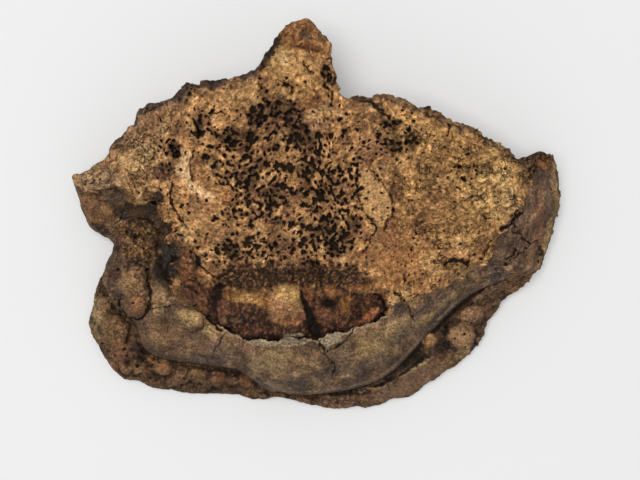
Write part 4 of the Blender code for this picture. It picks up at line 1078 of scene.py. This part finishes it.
# %% Colours of the crust
CRUST_SPOTS = [
    ("#7F6848", 0.8, -24, -56, 11, 7, 0.5), ("#846C48", 0.7, 30, -47, 12, 6, 0.5, 35),
    ("#826746", 0.7, -6, -60, 7, 4), ("#3A302B", 0.8, 3, -63.6, 6, 3.4, 0.3, 20),
    ("#4C3E36", 0.7, -14, -68, 12, 3, 0.5), ("#43382F", 0.6, 22, -60, 10, 3, 0.5, 28),
    ("#8A7048", 0.6, 22, -50, 5, 3, 0.4, 30), ("#4C3E34", 0.7, 52, -35, 13, 6, 0.5, 40),
    ("#4E4038", 0.6, 38, -46, 6, 3, 0.5, 40), ("#94784F", 0.95, -63, -37, 6.4, 4.2, 0.25, -12),
    ("#917650", 0.9, -52, -43.6, 4.6, 3, 0.3, -30), ("#584436", 0.6, -72, -39, 7, 4),
    ("#785B3F", 0.75, -76, -46, 9, 7, 0.5), ("#8C6E4E", 0.7, -105, -16, 3, 12),
    ("#8F7251", 0.85, -77, -23.6, 4.6, 6, 0.3), ("#866646", 0.8, -90, -19, 9, 6),
    ("#4A2C20", 0.8, -97.6, -16, 3.6, 3.6, 0.3), ("#744F34", 0.9, -88.4, -31, 5.2, 5, 0.25),
    ("#94663A", 0.8, -101, -27.6, 2.6, 2.6, 0.3), ("#54402E", 0.7, -98, -24, 3, 3, 0.3),
    # The two grey-black spots at (-74.6, -3.4) and (-73.4, -12) are painted shade in the deep hollow beside
    # the torn edge.
    ("#403A34", 0.95, -74.6, -3.4, 5.6, 7, 0.3), ("#403A34", 0.95, -73.4, -12, 5, 8.4, 0.3, -18),
    ("#7B5638", 0.85, -107, 14, 10, 9, 0.3), ("#85603A", 0.8, -100.6, 14.4, 3, 3.4),
    # The near-black spots at (-86.6, 13.4), (-81, 17) and (-97, 18) are painted shadow under the wing's
    # ledge, and the one at (-96, -2) is painted shade in a small hollow.
    ("#3E3128", 0.97, -86.6, 13.4, 12, 5, 0.25, 2), ("#33281F", 0.95, -81, 17, 5, 4.6, 0.3),
    ("#4A382A", 0.7, -97, 18, 6, 3), ("#32262A", 0.9, -96, -2, 4, 4, 0.3),
    ("#30261F", 0.8, -104, 5, 6, 2, 0.3, -30), ("#3A2E28", 0.7, -67, -30.4, 5, 1.4, 0.4, -20),
    ("#6A4C30", 0.7, 104, -8, 5, 6), ("#47352A", 0.8, 92, 2, 6, 8), ("#47382A", 0.5, 6, -60, 8, 6),
    ("#A88A62", 0.7, 89.6, -13, 1.8, 1.2), ("#9A7C58", 0.5, 86, -17.6, 3, 1, 0.4, 20),
    ("#5A4636", 0.6, 106, 29, 4, 8), ("#352A24", 0.8, 38, -33, 4, 3, 0.3),
    ("#7E6642", 0.8, 64, -26, 8, 1.6, 0.4, 32), ("#846A44", 0.7, 50, -38, 6, 2, 0.4, 35),
    ("#3E322C", 0.7, 62, -32, 12, 2, 0.4, 40), ("#2E2426", 0.8, 84, -16, 4, 4, 0.3),
    ("#8A5A34", 0.35, 104, 12, 3, 12, 0.5), ("#1E1714", 0.9, 105, -7.4, 1.8, 2.6, 0.3, 30),
    ("#7A5844", 0.7, -34, -51, 5, 5), ("#4A3A30", 0.6, -44, -53, 7, 4), ("#6A5540", 0.6, 12, -56, 5, 5),
    ("#5A4A3E", 0.7, -50, -56, 12, 2),
]
patchy, blotchy = cloud(cx, cy, 9, 111), cloud(cx, cy, 3.4, 115, 4)
crust_fine = cloud(cx, cy, 1.2, 119, 2)
rubble = crust_terrace * smooth_step(-abs(cy - 1), -9.6, -6.6)
rough_ground = np.maximum(crust_terrace, 0.5 * smooth_step(-cx, 78, 84) * smooth_step(cy, -36, -30))
streaky = smooth_step(cx, 40, 80)
lip_shade = fade(to_lip, 1.5, 7) * fade(cx, 80, 95) * smooth_step(-cy, 10, 25)
# A painted highlight: a thin light line along the hanging lip, where light catches its edge. The crust's
# ridges are lighter too.
lip_highlight = fade(abs(to_lip - 0.8), 0.2, 0.8) * smooth_step(rough(cx, cy, 9, 123), -0.5, 0.2)
lip_highlight = lip_highlight * smooth_step(cx, -30, -10) * hanging[:, None]
broken_edge = fade(share * width[:, None] + 0.8 * rough(cx, cy, 5, 121), 0.5, 1.6)

crust_tint = washed(
    np.broadcast_to(linear("#664D37"), cx.shape + (3,)),
    ("#866B4B", smooth_step(patchy, 0.5, 0.8) * 0.8),
    ("#4E3F33", smooth_step(1 - patchy, 0.5, 0.8) * 0.7),
    ("#5E4736", smooth_step(cx, 72, 88) * 0.85),
)
crust_tint = washed(
    washed_spots(crust_tint, CRUST_SPOTS, cx, cy),
    ("#897A61", 0.9 * plates),
    ("#62462F", 0.95 * rubble),
    ("#A06C38", 0.7 * rubble * smooth_step(rough(cx, cy, 3.4, 117), 0.1, 0.6)),
    ("#8E7450", 0.7 * rubble * smooth_step(crust_crumb, 0.8, 1.3)),
    ("#7E6148", 0.5 * smooth_step(wrinkle, 0.1, 0.9) * streaky),
    ("#40302A", 0.5 * smooth_step(-wrinkle, 0.1, 0.9) * streaky),
    ("#8C7046", 0.8 * fade(to_lip, 0.8, 3.2) * smooth_step(cx, 99, 106)),
    ("#352A24", 0.45 * lip_shade),
    ("#8A755A", 0.4 * np.maximum(ridge, lip_highlight)),
    ("#94806A", 0.6 * broken_edge * smooth_step(44 - abs(cx + 6), 0, 6)),
)
crust_tint = grit(crust_tint, cx, cy, 0.7 * rough_ground, "#A88458", "#17110E")
crust_tint = crust_tint * ((0.78 + 0.62 * blotchy) * (0.7 + 0.6 * crust_fine))[..., None]
# Painted light and shade: higher places and wrinkle crests are made lighter and low ones darker. The creases
# between the terrace's crumbs are painted dark, as the shade in them.
relief_lighting = 0.24 * np.clip(crust_uneven, -1.8, 1.8) + 0.1 * np.clip(wrinkle, -1, 1)
crust_tint = crust_tint * (1.02 + relief_lighting)[..., None]
crust_tint = wash(crust_tint, "#1E150F", 0.85 * crust_terrace * fade(crust_crumb, 0.15, 0.65))
# Painted shade: grooves and pin holes are made dark in the material.
crust_shade = np.maximum(0.95 * smooth_step(crust_groove, 0.5, 1.8), pin_holes(cx, cy))


def over_section(values, edge_value, lip_value):
    """Carries values of the crust's top over the columns of its broken edge and its lip."""
    first = np.repeat(values[:, :1], len(EDGE_STEPS), 1)
    last = np.repeat(values[:, -1:], len(LIP_STEPS), 1)
    return np.concatenate([edge_value(first), values, lip_value(last)], 1)


# Painted shade: the lip's underside gets darker towards the rim, and its tint is made a quarter darker. The
# broken edge's face is made darker brown, with a little painted shade.
lip_underside_shade = hanging[:, None] * np.linspace(0, 0.9, len(LIP_STEPS))
crust_shade = over_section(crust_shade, lambda v: v + 0.2, lambda v: v + lip_underside_shade)
crust_layers = {
    "tint": over_section(crust_tint, lambda v: v + 0.6 * (linear("#3E2C1E") - v), lambda v: v * 0.75),
    "hollow": np.clip(crust_shade, 0, 1),
    "crumbly": over_section(0.2 + 0.8 * rough_ground, lambda v: v, lambda v: v),
}
crust = tube_body("upper_crust", crust_rings, crust_layers)

# %% [markdown]
# ## The body: rim, wall and underside
# The rim is the youngest growth, thin and lumpy. The wall curves in below it to the flat pore face on
# which the fungus lies. At the back, below the overhang, the fungus is cut flat where it grew on the wood.
# The piece is a stack of rings: in under the crust, out over the rim, down the wall and in below.

# %% Spokes of the body
BODY_HUB = np.array([0.0, 5.0])
BODY_SPOKES, RIM_RINGS, WALL_RINGS, BASE_RINGS = 960, 52, 30, 12
INNER_FLOOR, OVERHANG_FLOOR = 6.0, 30.0


def front_weight(angle):
    """More spokes in front, where the camera sees the rim, than at the back."""
    return 1 + 0.8 * smooth_step(-np.sin(angle), -0.3, 0.2)


around = even_spokes(0, 2 * np.pi, lambda a: reach(outline, BODY_HUB, a), BODY_SPOKES + 1, front_weight)[:-1]
body_edge = reach(outline, BODY_HUB, around)
body_lip = np.minimum(reach(upper_shelf, BODY_HUB, around), body_edge - 0.4)

# %% The rim's lumps
RIM_LUMPS = [
    (-98, -43, 7, 8, 4.6), (-94, -54, 6, 5, 3.6), (-87, -60, 3.8, 3.8, 3.2), (-80, -56, 2.8, 2.8, 3.2),
    (-104, -36, 4, 6, 2.6), (-75, -60.5, 5, 4.4, 4.6), (-66, -65, 4, 3.4, 2.8), (-58, -64.5, 5, 4, 4),
    (-49, -65.5, 4.6, 3.6, 3.6), (-93, -61, 3, 3, 2), (-42, -67, 3, 2.6, 2.6), (-35, -66.5, 4.2, 4, 3.6),
    (53, -47.6, 3.7, 3.7, 4), (66.6, -45.4, 7.4, 7, 5.4), (-101, -50, 3.4, 4, 2.2),
    (72, -35.4, 6.4, 4.6, 4.2), (-103, -31, 4, 5, 2.2), (-28, -70, 3, 3, 2.2), (-82, -63, 3, 3, 2),
    (-54, -69, 3, 2, 1.6), (-70, -68, 3, 2.4, 1.8), (-88, -50, 4, 5, 2.4),
]
BUTTON = [(48.6, -48), (50.6, -45), (54.4, -44.8), (56.2, -48), (54, -51.2), (50.4, -51)]
PALE_LIP = [(51, -57.4), (46, -60.4), (40, -63.6), (34, -67), (28, -70), (19, -71.6)]
RIM_GAP = [(26, -70), (34, -66.6), (42, -62), (49, -56.6)]
FOLD = [(73.8, -28), (77.5, -25.9), (81.2, -23.4), (85.4, -21.9), (88, -20.8)]


def rim_surface(x, y, lip):
    """The rim's height: levels and lumps, each in a broken moat, crumbly between them, with a crevice under
    the lip, a fold and a broken pale edge. On the right it has grown on to the shelf."""
    fold, grown = near_path(FOLD, x, y, 0.9, 1.7, 0.2), smooth_step(x, 86, 92)
    crevice = 2.8 * fade(abs(lip + 1.2), 0, 2.2) * (1 - grown)
    swell, edge = lumps(RIM_LUMPS, x, y), near_path(PALE_LIP, x, y, 0.2, 1.3, 1.0)
    wider = lumps([(cx, cy, across + 1.2, along + 1.2, 3) for cx, cy, across, along, _ in RIM_LUMPS], x, y)
    moat = smooth_step(wider, 0.3, 1.2) * fade(swell, 0.1, 1.2) * smooth_step(-lip, 0, 2)
    moat = moat * smooth_step(rough(x, y, 5, 141), -0.35, 0.25) * (1 - 0.4 * smooth_step(x, 40, 60))
    button = within(BUTTON, x, y, 0.2)
    plain = np.maximum(spot(x, y, 42, -68, 22, 5, turn=28), button)
    crumb = crumbs(x, y, 3.0, 25, 4)
    relief = (1 - 0.75 * plain) * (1 - 0.5 * smooth_step(swell, 0.5, 2)) * (2.4 * crumb - 1.5)
    relief = relief * (1 - 0.4 * smooth_step(-x, 20, 45)) + 0.8 * rough(x, y, 7, 21, 3)
    gap = near_path(RIM_GAP, x, y, 0.2, 1.4)
    z = rim_level(x, y) + swell + relief + 1.6 * edge + 5.0 * fold
    z = z + 4.5 * grown * fade(-lip, 0, 7)
    z = z - crevice * (1 - button) - 2.0 * gap - 2.4 * pin_holes(x, y) - moat
    facts = {
        "moat": moat * (1 - button), "swell": swell, "edge": edge, "plain": plain, "crumb": crumb,
        "relief": relief, "gap": gap, "fold": fold, "clear": (1 - button) * (1 - grown) * (1 - fold),
    }
    return z, facts


share = np.linspace(0, 1, RIM_RINGS)[:, None]
br = (body_lip - 9) * (1 - share) + body_edge * share
bx = BODY_HUB[0] + br * np.cos(around)
by = BODY_HUB[1] + br * np.sin(around)
lip = depth_inside(upper_shelf, bx, by)
rim_z, rim = rim_surface(bx, by, lip)
rim_z = rim_z - np.maximum(lip, 0) * 0.5
outside_shelf = fade(lip[-1], -0.5, 2.5)
torn_share = smooth_step(depth_inside(torn_edge, bx, by), -0.8, 0.8)
skin = torn_share * flesh_level(bx, by) + (1 - torn_share) * crust_level(bx, by)
to_edge = (1 - share) * (body_edge - body_lip + 9)
under_skin = skin - 1.6 - 3.5 * smooth_step(to_edge, 0.6, 4)
bz = outside_shelf * rim_z + (1 - outside_shelf) * under_skin
bz = bz - SHOULDER * 0.7 * rounded(to_edge, SHOULDER)
print(f"the outline stands {bz[-1].min():.1f} to {bz[-1].max():.1f} mm high")

# %% The wall and the underside
down = np.arange(1, WALL_RINGS + 1)[:, None] / WALL_RINGS
edge_z = bz[-1]
wz = edge_z * (1 - down)
inset = (FOOT_INSET + FOOT_LEAN * edge_z) * down**1.7
wall_x, wall_y = np.cos(around) * 90, np.sin(around) * 90
bump = 1.6 * rough(wall_x, wall_y + wz * 2.2, 9, 31, 4) * np.sin(down * np.pi) ** 1.5
wr = body_edge - inset + bump * smooth_step(edge_z, 6, 30)
foot_x, foot_y = BODY_HUB[0] + wr * np.cos(around), BODY_HUB[1] + wr * np.sin(around)
fray_x, fray_y = frayed(foot_x + 0.3 * wz, foot_y - 0.4 * wz, 6 * down)
wall = true_place(fray_x - 0.3 * wz, fray_y + 0.4 * wz, wz)
belly = np.sqrt(np.maximum(wz - BACK_CUT_TOP, 0) / OVERHANG_RISE)
cut_y = BACK_CUT_Y - ORIGIN_Y + OVERHANG_REACH * belly
is_cut = (wall[..., 1] > cut_y) & (wz < BACK_CUT_TOP)
wall[..., 1] = np.minimum(wall[..., 1], cut_y)
inward = 1 - np.arange(1, BASE_RINGS + 1)[:, None, None] / (BASE_RINGS + 1)
base = wall[-1] * inward
rim_rings = true_place(*frayed(bx, by, to_edge), bz)
foot_share = np.hypot(wall[-1, :, 0], wall[-1, :, 1]) / np.hypot(rim_rings[0, :, 0], rim_rings[0, :, 1])
sunk = rim_rings[:1] * np.minimum(0.985, 0.94 * foot_share)[None, :, None]
sunk[..., 2] = INNER_FLOOR + (OVERHANG_FLOOR - INNER_FLOOR) * smooth_step(rim_rings[:1, :, 1], 28, 38)
rings = np.concatenate([sunk, rim_rings, wall, base])
print(f"the cut is {np.ptp(wall[..., 0][is_cut]):.0f} mm wide")

# %% Colours of the body
# The near-black spots just under the crust's lip, at (59.6, -43.6), (45, -57), (8, -72.6), (-42, -64) and
# (-85, -52), and the one between two lumps at (-53, -64), are painted shade.
RIM_SPOTS = [
    ("#9A744A", 0.95, 52.4, -48, 4.2, 4.2, 0.15), ("#7C5838", 0.8, 52, -48, 1.8, 1.8),
    ("#8A6B4A", 0.9, 66.6, -46, 5.6, 4.6, 0.35), ("#A08058", 0.85, 67.6, -54, 4, 2.2, 0.3, 38),
    ("#1C1512", 0.9, 59.6, -43.6, 2.4, 2.4, 0.35), ("#8C6A4A", 0.85, 71, -35.6, 5, 3.6, 0.35, 35),
    ("#5C3A2E", 0.8, 77.4, -34.6, 3, 4), ("#4E3E34", 0.8, 58, -51.4, 5, 3),
    ("#80614A", 0.85, 42, -69, 20, 4.4, 0.4, 28), ("#8A6E4C", 0.7, 62, -58, 7, 2.2, 0.4, 38),
    ("#85644D", 0.88, 9, -77, 10, 3), ("#3A2C22", 0.9, 45, -57, 8, 3, 0.4, 30),
    ("#33261D", 0.9, 58.6, -50.6, 4, 4), ("#664B30", 0.9, -97.4, -43, 5.4, 7.4, 0.35),
    ("#633F2C", 0.8, -94, -54, 6, 5), ("#80502F", 0.9, -80, -56, 2.2, 1.8, 0.3),
    ("#7A5436", 0.9, -75, -60.6, 3.8, 2.8, 0.25), ("#6A4030", 0.8, -81.4, -61, 1.6, 1.6, 0.3),
    ("#7A5A3A", 0.85, -57.4, -65.6, 3.4, 3.4, 0.3), ("#6E4C34", 0.8, -49.6, -63.4, 3.4, 2.8, 0.3),
    ("#A1865E", 0.85, -107, -34, 2.6, 12, 0.4, 4), ("#2C211A", 0.9, -85, -52, 5, 4, 0.3),
    ("#4C3726", 0.6, -60, -70, 30, 3), ("#2A1E17", 0.8, 8, -72.6, 16, 1.6),
    ("#5C402A", 0.6, -45, -64, 14, 4), ("#7A4A2C", 0.7, -48, -66, 3, 2.4, 0.3),
    ("#7A4A2C", 0.7, -35, -67, 3, 2.4, 0.3), ("#2A1E17", 0.7, -42, -64, 3, 2, 0.3),
    ("#2A1E17", 0.7, -53, -64, 1.6, 3, 0.3), ("#8A684C", 0.5, 75, -33, 6, 5, 0.5, 40),
    ("#8C6242", 0.8, 94.4, -21, 6.4, 2.8, 0.4, 36), ("#5C4433", 0.7, 82.4, -27, 5, 2.4, 0.4, 35),
    ("#2A1E17", 0.3, -45, -66, 16, 5, 0.5), ("#3A2A20", 0.7, 76, -40, 3, 2, 0.3),
    ("#5A4636", 0.7, 97, -18, 4, 2, 0.3, 40),
]
patchy, speckle = cloud(bx, by, 6, 121), cloud(bx, by, 1.8, 125)
rim_fine = cloud(bx, by, 1.1, 127, 2)
rim_tint = washed(
    np.broadcast_to(linear("#6E5238"), bx.shape + (3,)),
    ("#7C5C40", smooth_step(patchy, 0.5, 0.8)),
    ("#3A291E", smooth_step(1 - patchy, 0.5, 0.85) * 0.75),
)
rim_tint = wash(washed_spots(rim_tint, RIM_SPOTS, bx, by), "#A8906A", 0.8 * rim["edge"])
rim_tint = grit(rim_tint, bx, by, 0.35 * (1 - 0.8 * rim["plain"]), "#8C6C4A", "#17110E")
rim_tint = rim_tint * ((0.76 + 0.72 * speckle) * (0.8 + 0.4 * rim_fine))[..., None]
# Painted light and shade: the tops of the rim's crumbs and lumps are made lighter. The creases between the
# crumbs and the moats round the lumps are painted dark, as the shade in them.
relief_lighting = 0.22 * np.clip(rim["relief"], -1.8, 1.8) + 0.15 * np.clip(rim["swell"], 0, 4)
rim_tint = washed(
    rim_tint * (0.78 + relief_lighting)[..., None],
    ("#22170F", 0.6 * fade(rim["crumb"], 0.12, 0.5) * (1 - rim["plain"])),
    ("#241913", 0.7 * rim["moat"]),
    ("#86694F", 0.8 * rim["fold"]),
    ("#6A5238", 0.8 * (1 - outside_shelf) * np.ones_like(share)),
)

wall_patchy = cloud(wall_x, wall_y + wz * 2, 8, 141, 4)
layer = cloud(wall_x * 0.12, wz + 0.03 * wall_x, 1.6, 145, 2)
wall_tint = washed(
    np.repeat(rim_tint[-1:], WALL_RINGS, 0),
    ("#75583D", np.clip(down * 3, 0, 1) * 0.7 * np.ones_like(wz)),
    ("#46332A", smooth_step(wall_patchy, 0.5, 0.75) * smooth_step(edge_z, 12, 30)),
    ("#7E6042", is_cut * 0.7),
)
wall_tint = wall_tint * (0.7 + 0.6 * layer)[..., None]
pore_patches = cloud(base[..., 0], base[..., 1], 26, 147, 2)
base_tint = np.broadcast_to(linear("#7E674A"), base.shape)
base_tint = wash(base_tint, "#5E4A35", smooth_step(pore_patches, 0.3, 0.8))

# Painted shade: the shadow of the crust's lip on the rim below it, the pin holes and the gap under the pale
# lip are made dark.
lip_shadow_on_rim = 0.9 * fade(-lip, -1, 3.0) * outside_shelf * rim["clear"]
rim_shade = np.max([lip_shadow_on_rim, pin_holes(bx, by), 0.8 * rim["gap"]], 0)
wall_dark = 0.6 * smooth_step(wall_patchy, 0.62, 0.8) * smooth_step(edge_z, 12, 30) * (1 - is_cut)
tint = np.concatenate([rim_tint[:1], rim_tint, wall_tint, base_tint])
hollow = np.concatenate([rim_shade[:1], rim_shade, wall_dark, np.zeros(base.shape[:2])])
rim_crumbly = 0.7 - 0.5 * rim["plain"]
crumbly = np.concatenate([rim_crumbly[:1], rim_crumbly, np.full(wz.shape, 0.7), np.full(base.shape[:2], 0.3)])
body = tube_body("rim_and_body", rings, {"tint": tint, "hollow": hollow, "crumbly": crumbly})

# %% [markdown]
# ## Materials
# Dry corky flesh, weathered crust and the pore face are all matt: light goes a little way in and comes
# back soft. The mesh's own colours are used, and finer noise is multiplied over them, because a grain of
# half a millimetre is too fine for the mesh. The holes, grooves and crevices are painted nearly black, as
# the shade in them.

# %% One helper for nodes


def add_node(tree, kind, settings=(), values=(), links=()):
    """Adds a shader node with its settings, its sockets' values, and links to its sockets. A link comes
    from an output, or from a node, which stands for its first output."""
    node = tree.nodes.new("ShaderNode" + kind)
    for key, value in dict(settings).items():
        setattr(node, key, value)
    for key, value in dict(values).items():
        node.inputs[key].default_value = value
    for key, source in dict(links).items():
        tree.links.new(source.outputs[0] if hasattr(source, "outputs") else source, node.inputs[key])
    return node


# %% Dry flesh, crust and pores
DULL = 0.2  # how much light the outermost skin throws back: less than half of what a plastic does


def grown_material(name, grain_mm, grain_share, crack_mm, crack_share, bump_mm, roughness, shade_hex):
    """A matt grown surface: tint times grain, thin broken cracks between crumbs, painted shade over the
    hollows, and a bump.
    """
    material = bpy.data.materials.new(name)
    material.use_nodes = True
    tree = material.node_tree
    shader = tree.nodes["Principled BSDF"]
    shader.inputs["Roughness"].default_value = roughness
    shader.inputs["Specular IOR Level"].default_value = DULL
    node = functools.partial(add_node, tree)
    times, soft = {"operation": "MULTIPLY"}, {"interpolation_type": "SMOOTHSTEP"}
    grain_scale, crack_scale = 1 / (grain_mm * MM), 1 / (crack_mm * MM)
    place = node("TexCoord").outputs["Object"]
    tint, hollow, crumbly = (node("Attribute", {"attribute_name": k}) for k in ("tint", "hollow", "crumbly"))
    grain = node("TexNoise", (), {"Scale": grain_scale, "Detail": 5.0, "Roughness": 0.75}, {"Vector": place})

    # Cracks run along the edges of bent cells. They are drawn only in patches, and where it is crumbly.
    # A map range takes its value in socket 0, from the range in 1 and 2 to the range in 3 and 4.
    wander = node("TexNoise", (), {"Scale": 0.7 * crack_scale, "Detail": 3.0}, {"Vector": place})
    bent = {0: wander.outputs["Color"], 2: place}
    bent = node("VectorMath", {"operation": "MULTIPLY_ADD"}, {1: (1.3 * crack_mm * MM,) * 3}, bent)
    edges = {"feature": "DISTANCE_TO_EDGE"}
    cells = node("TexVoronoi", edges, {"Scale": crack_scale}, {"Vector": bent})
    line = node("MapRange", soft, {1: 0.01, 2: 0.13, 3: 1.0, 4: 0.0}, {0: cells.outputs["Distance"]})
    patches = node("TexNoise", (), {"Scale": 0.4 * crack_scale}, {"Vector": place})
    broken = node("MapRange", soft, {1: 0.44, 2: 0.6, 3: 0.0, 4: crack_share}, {0: patches.outputs["Fac"]})
    where = node("Math", times, (), {0: broken, 1: crumbly.outputs["Fac"]})
    cracks = node("Math", times, (), {0: line, 1: where})

    # The tint is multiplied by the grain, and by 0 in a crack. Then the painted shade of the holes, grooves
    # and crevices goes over it, with the dark patches of the wall.
    light = node("MapRange", (), {1: 0.36, 2: 0.64, 3: 1 - grain_share, 4: 1 + grain_share}, {0: grain})
    uncracked = node("Math", {"operation": "SUBTRACT"}, {0: 1.0}, {1: cracks})
    shade = node("Math", times, (), {0: light, 1: uncracked})
    scale = {0: tint.outputs["Color"], "Scale": shade}
    tinted = node("VectorMath", {"operation": "SCALE"}, (), scale)
    ragged = node("Math", {"operation": "MULTIPLY_ADD"}, {1: 0.35, 2: -0.17}, {0: grain})
    edge = node("Math", {"operation": "ADD"}, (), {0: hollow.outputs["Fac"], 1: ragged})
    shade_share = node("MapRange", soft, {1: 0.25, 2: 0.75, 3: 0.0, 4: 0.93}, {0: edge})
    colour = node(
        "Mix", {"data_type": "RGBA"}, {"B": (*linear(shade_hex), 1)},
        {"Factor": shade_share.outputs[0], "A": tinted},
    )
    height = node("Math", {"operation": "SUBTRACT"}, (), {0: grain, 1: cracks})
    relief = {"Height": height}
    bump = node("Bump", (), {"Strength": 1.0, "Distance": bump_mm * MM}, relief)
    tree.links.new(colour.outputs["Result"], shader.inputs["Base Color"])
    tree.links.new(bump.outputs[0], shader.inputs["Normal"])
    return material


# Corky flesh, torn open and bored by beetles: the deepest bump and most cracks, so it looks crumbly
flesh_material = grown_material("dry_corky_flesh", 1.1, 0.64, 2.6, 0.85, 0.9, 0.92, "#2A1E17")
# A skin worn by rain and sun: a fine low grain and few cracks, so it catches a little light
crust_material = grown_material("weathered_crust", 1.0, 0.66, 3.6, 0.6, 0.5, 0.75, "#211813")
# Young growth that dried as it was: softer grain and short cracks, so the lumps stay round
rim_material = grown_material("lumpy_rim", 1.2, 0.55, 2.4, 0.7, 0.8, 0.85, "#211813")
dressed = [(bored_flesh, flesh_material), (crumbly_flesh, flesh_material)]
dressed += [(crust, crust_material), (body, rim_material)]
for obj, material in dressed:
    obj.data.materials.append(material)
    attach(obj, "root")
    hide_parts("bracket")

# %% [markdown]
# ## Table, light and camera
# The fungus lies on a plain pale table. One large soft lamp hangs overhead, a little to the left and
# behind, and the sky is nearly as strong, so the shadows are short and soft. The camera looks straight
# down. Places and sizes are in metres here, and the lamp's power is in watts.

# %% Table and sky
TABLE_SIDE, SKY_STRENGTH = 3.0, 0.5
LAMP_PLACE, LAMP_SIZE, LAMP_POWER = (-0.16, 0.08, 1.6), 0.8, 17.5
SENSOR, VIEW_WIDTH = 36.0, 304.8  # millimetres: the camera's sensor, and what it sees of the table

table = bpy.data.meshes.new("table")
corners = [(TABLE_SIDE / 2 * i, TABLE_SIDE / 2 * j, 0) for i, j in ((-1, -1), (1, -1), (1, 1), (-1, 1))]
table.from_pydata(corners, [], [(0, 1, 2, 3)])
floor = bpy.data.objects.new("table", table)
bpy.context.scene.collection.objects.link(floor)
paper = bpy.data.materials.new("plain_table")
paper.use_nodes = True
paper.node_tree.nodes["Principled BSDF"].inputs["Base Color"].default_value = (*linear("#E4E4E4"), 1)
paper.node_tree.nodes["Principled BSDF"].inputs["Roughness"].default_value = 0.9
table.materials.append(paper)

sky = bpy.data.worlds.new("sky")
sky.use_nodes = True
sky.node_tree.nodes["Background"].inputs["Color"].default_value = (1, 1, 1, 1)
sky.node_tree.nodes["Background"].inputs["Strength"].default_value = SKY_STRENGTH
bpy.context.scene.world = sky

# %% Lamp and camera


def lamp(name, place, size, power):
    """A square soft lamp that shines at the fungus."""
    data = bpy.data.lights.new(name, "AREA")
    data.size, data.energy = size, power
    obj = bpy.data.objects.new(name, data)
    obj.location = place
    towards = -obj.location
    obj.rotation_euler = towards.to_track_quat("-Z", "Y").to_euler()
    bpy.context.scene.collection.objects.link(obj)
    return obj


lamp("key", LAMP_PLACE, LAMP_SIZE, LAMP_POWER)

camera_data = bpy.data.cameras.new("camera")
camera_data.sensor_width = SENSOR
camera_data.lens = SENSOR * EYE_HEIGHT / VIEW_WIDTH
camera_data.clip_start = 0.01
camera = bpy.data.objects.new("camera", camera_data)
camera.location = (-ORIGIN_X * MM, -ORIGIN_Y * MM, EYE_HEIGHT * MM)
bpy.context.scene.collection.objects.link(camera)
bpy.context.scene.camera = camera
bpy.context.scene.view_settings.view_transform = "Standard"
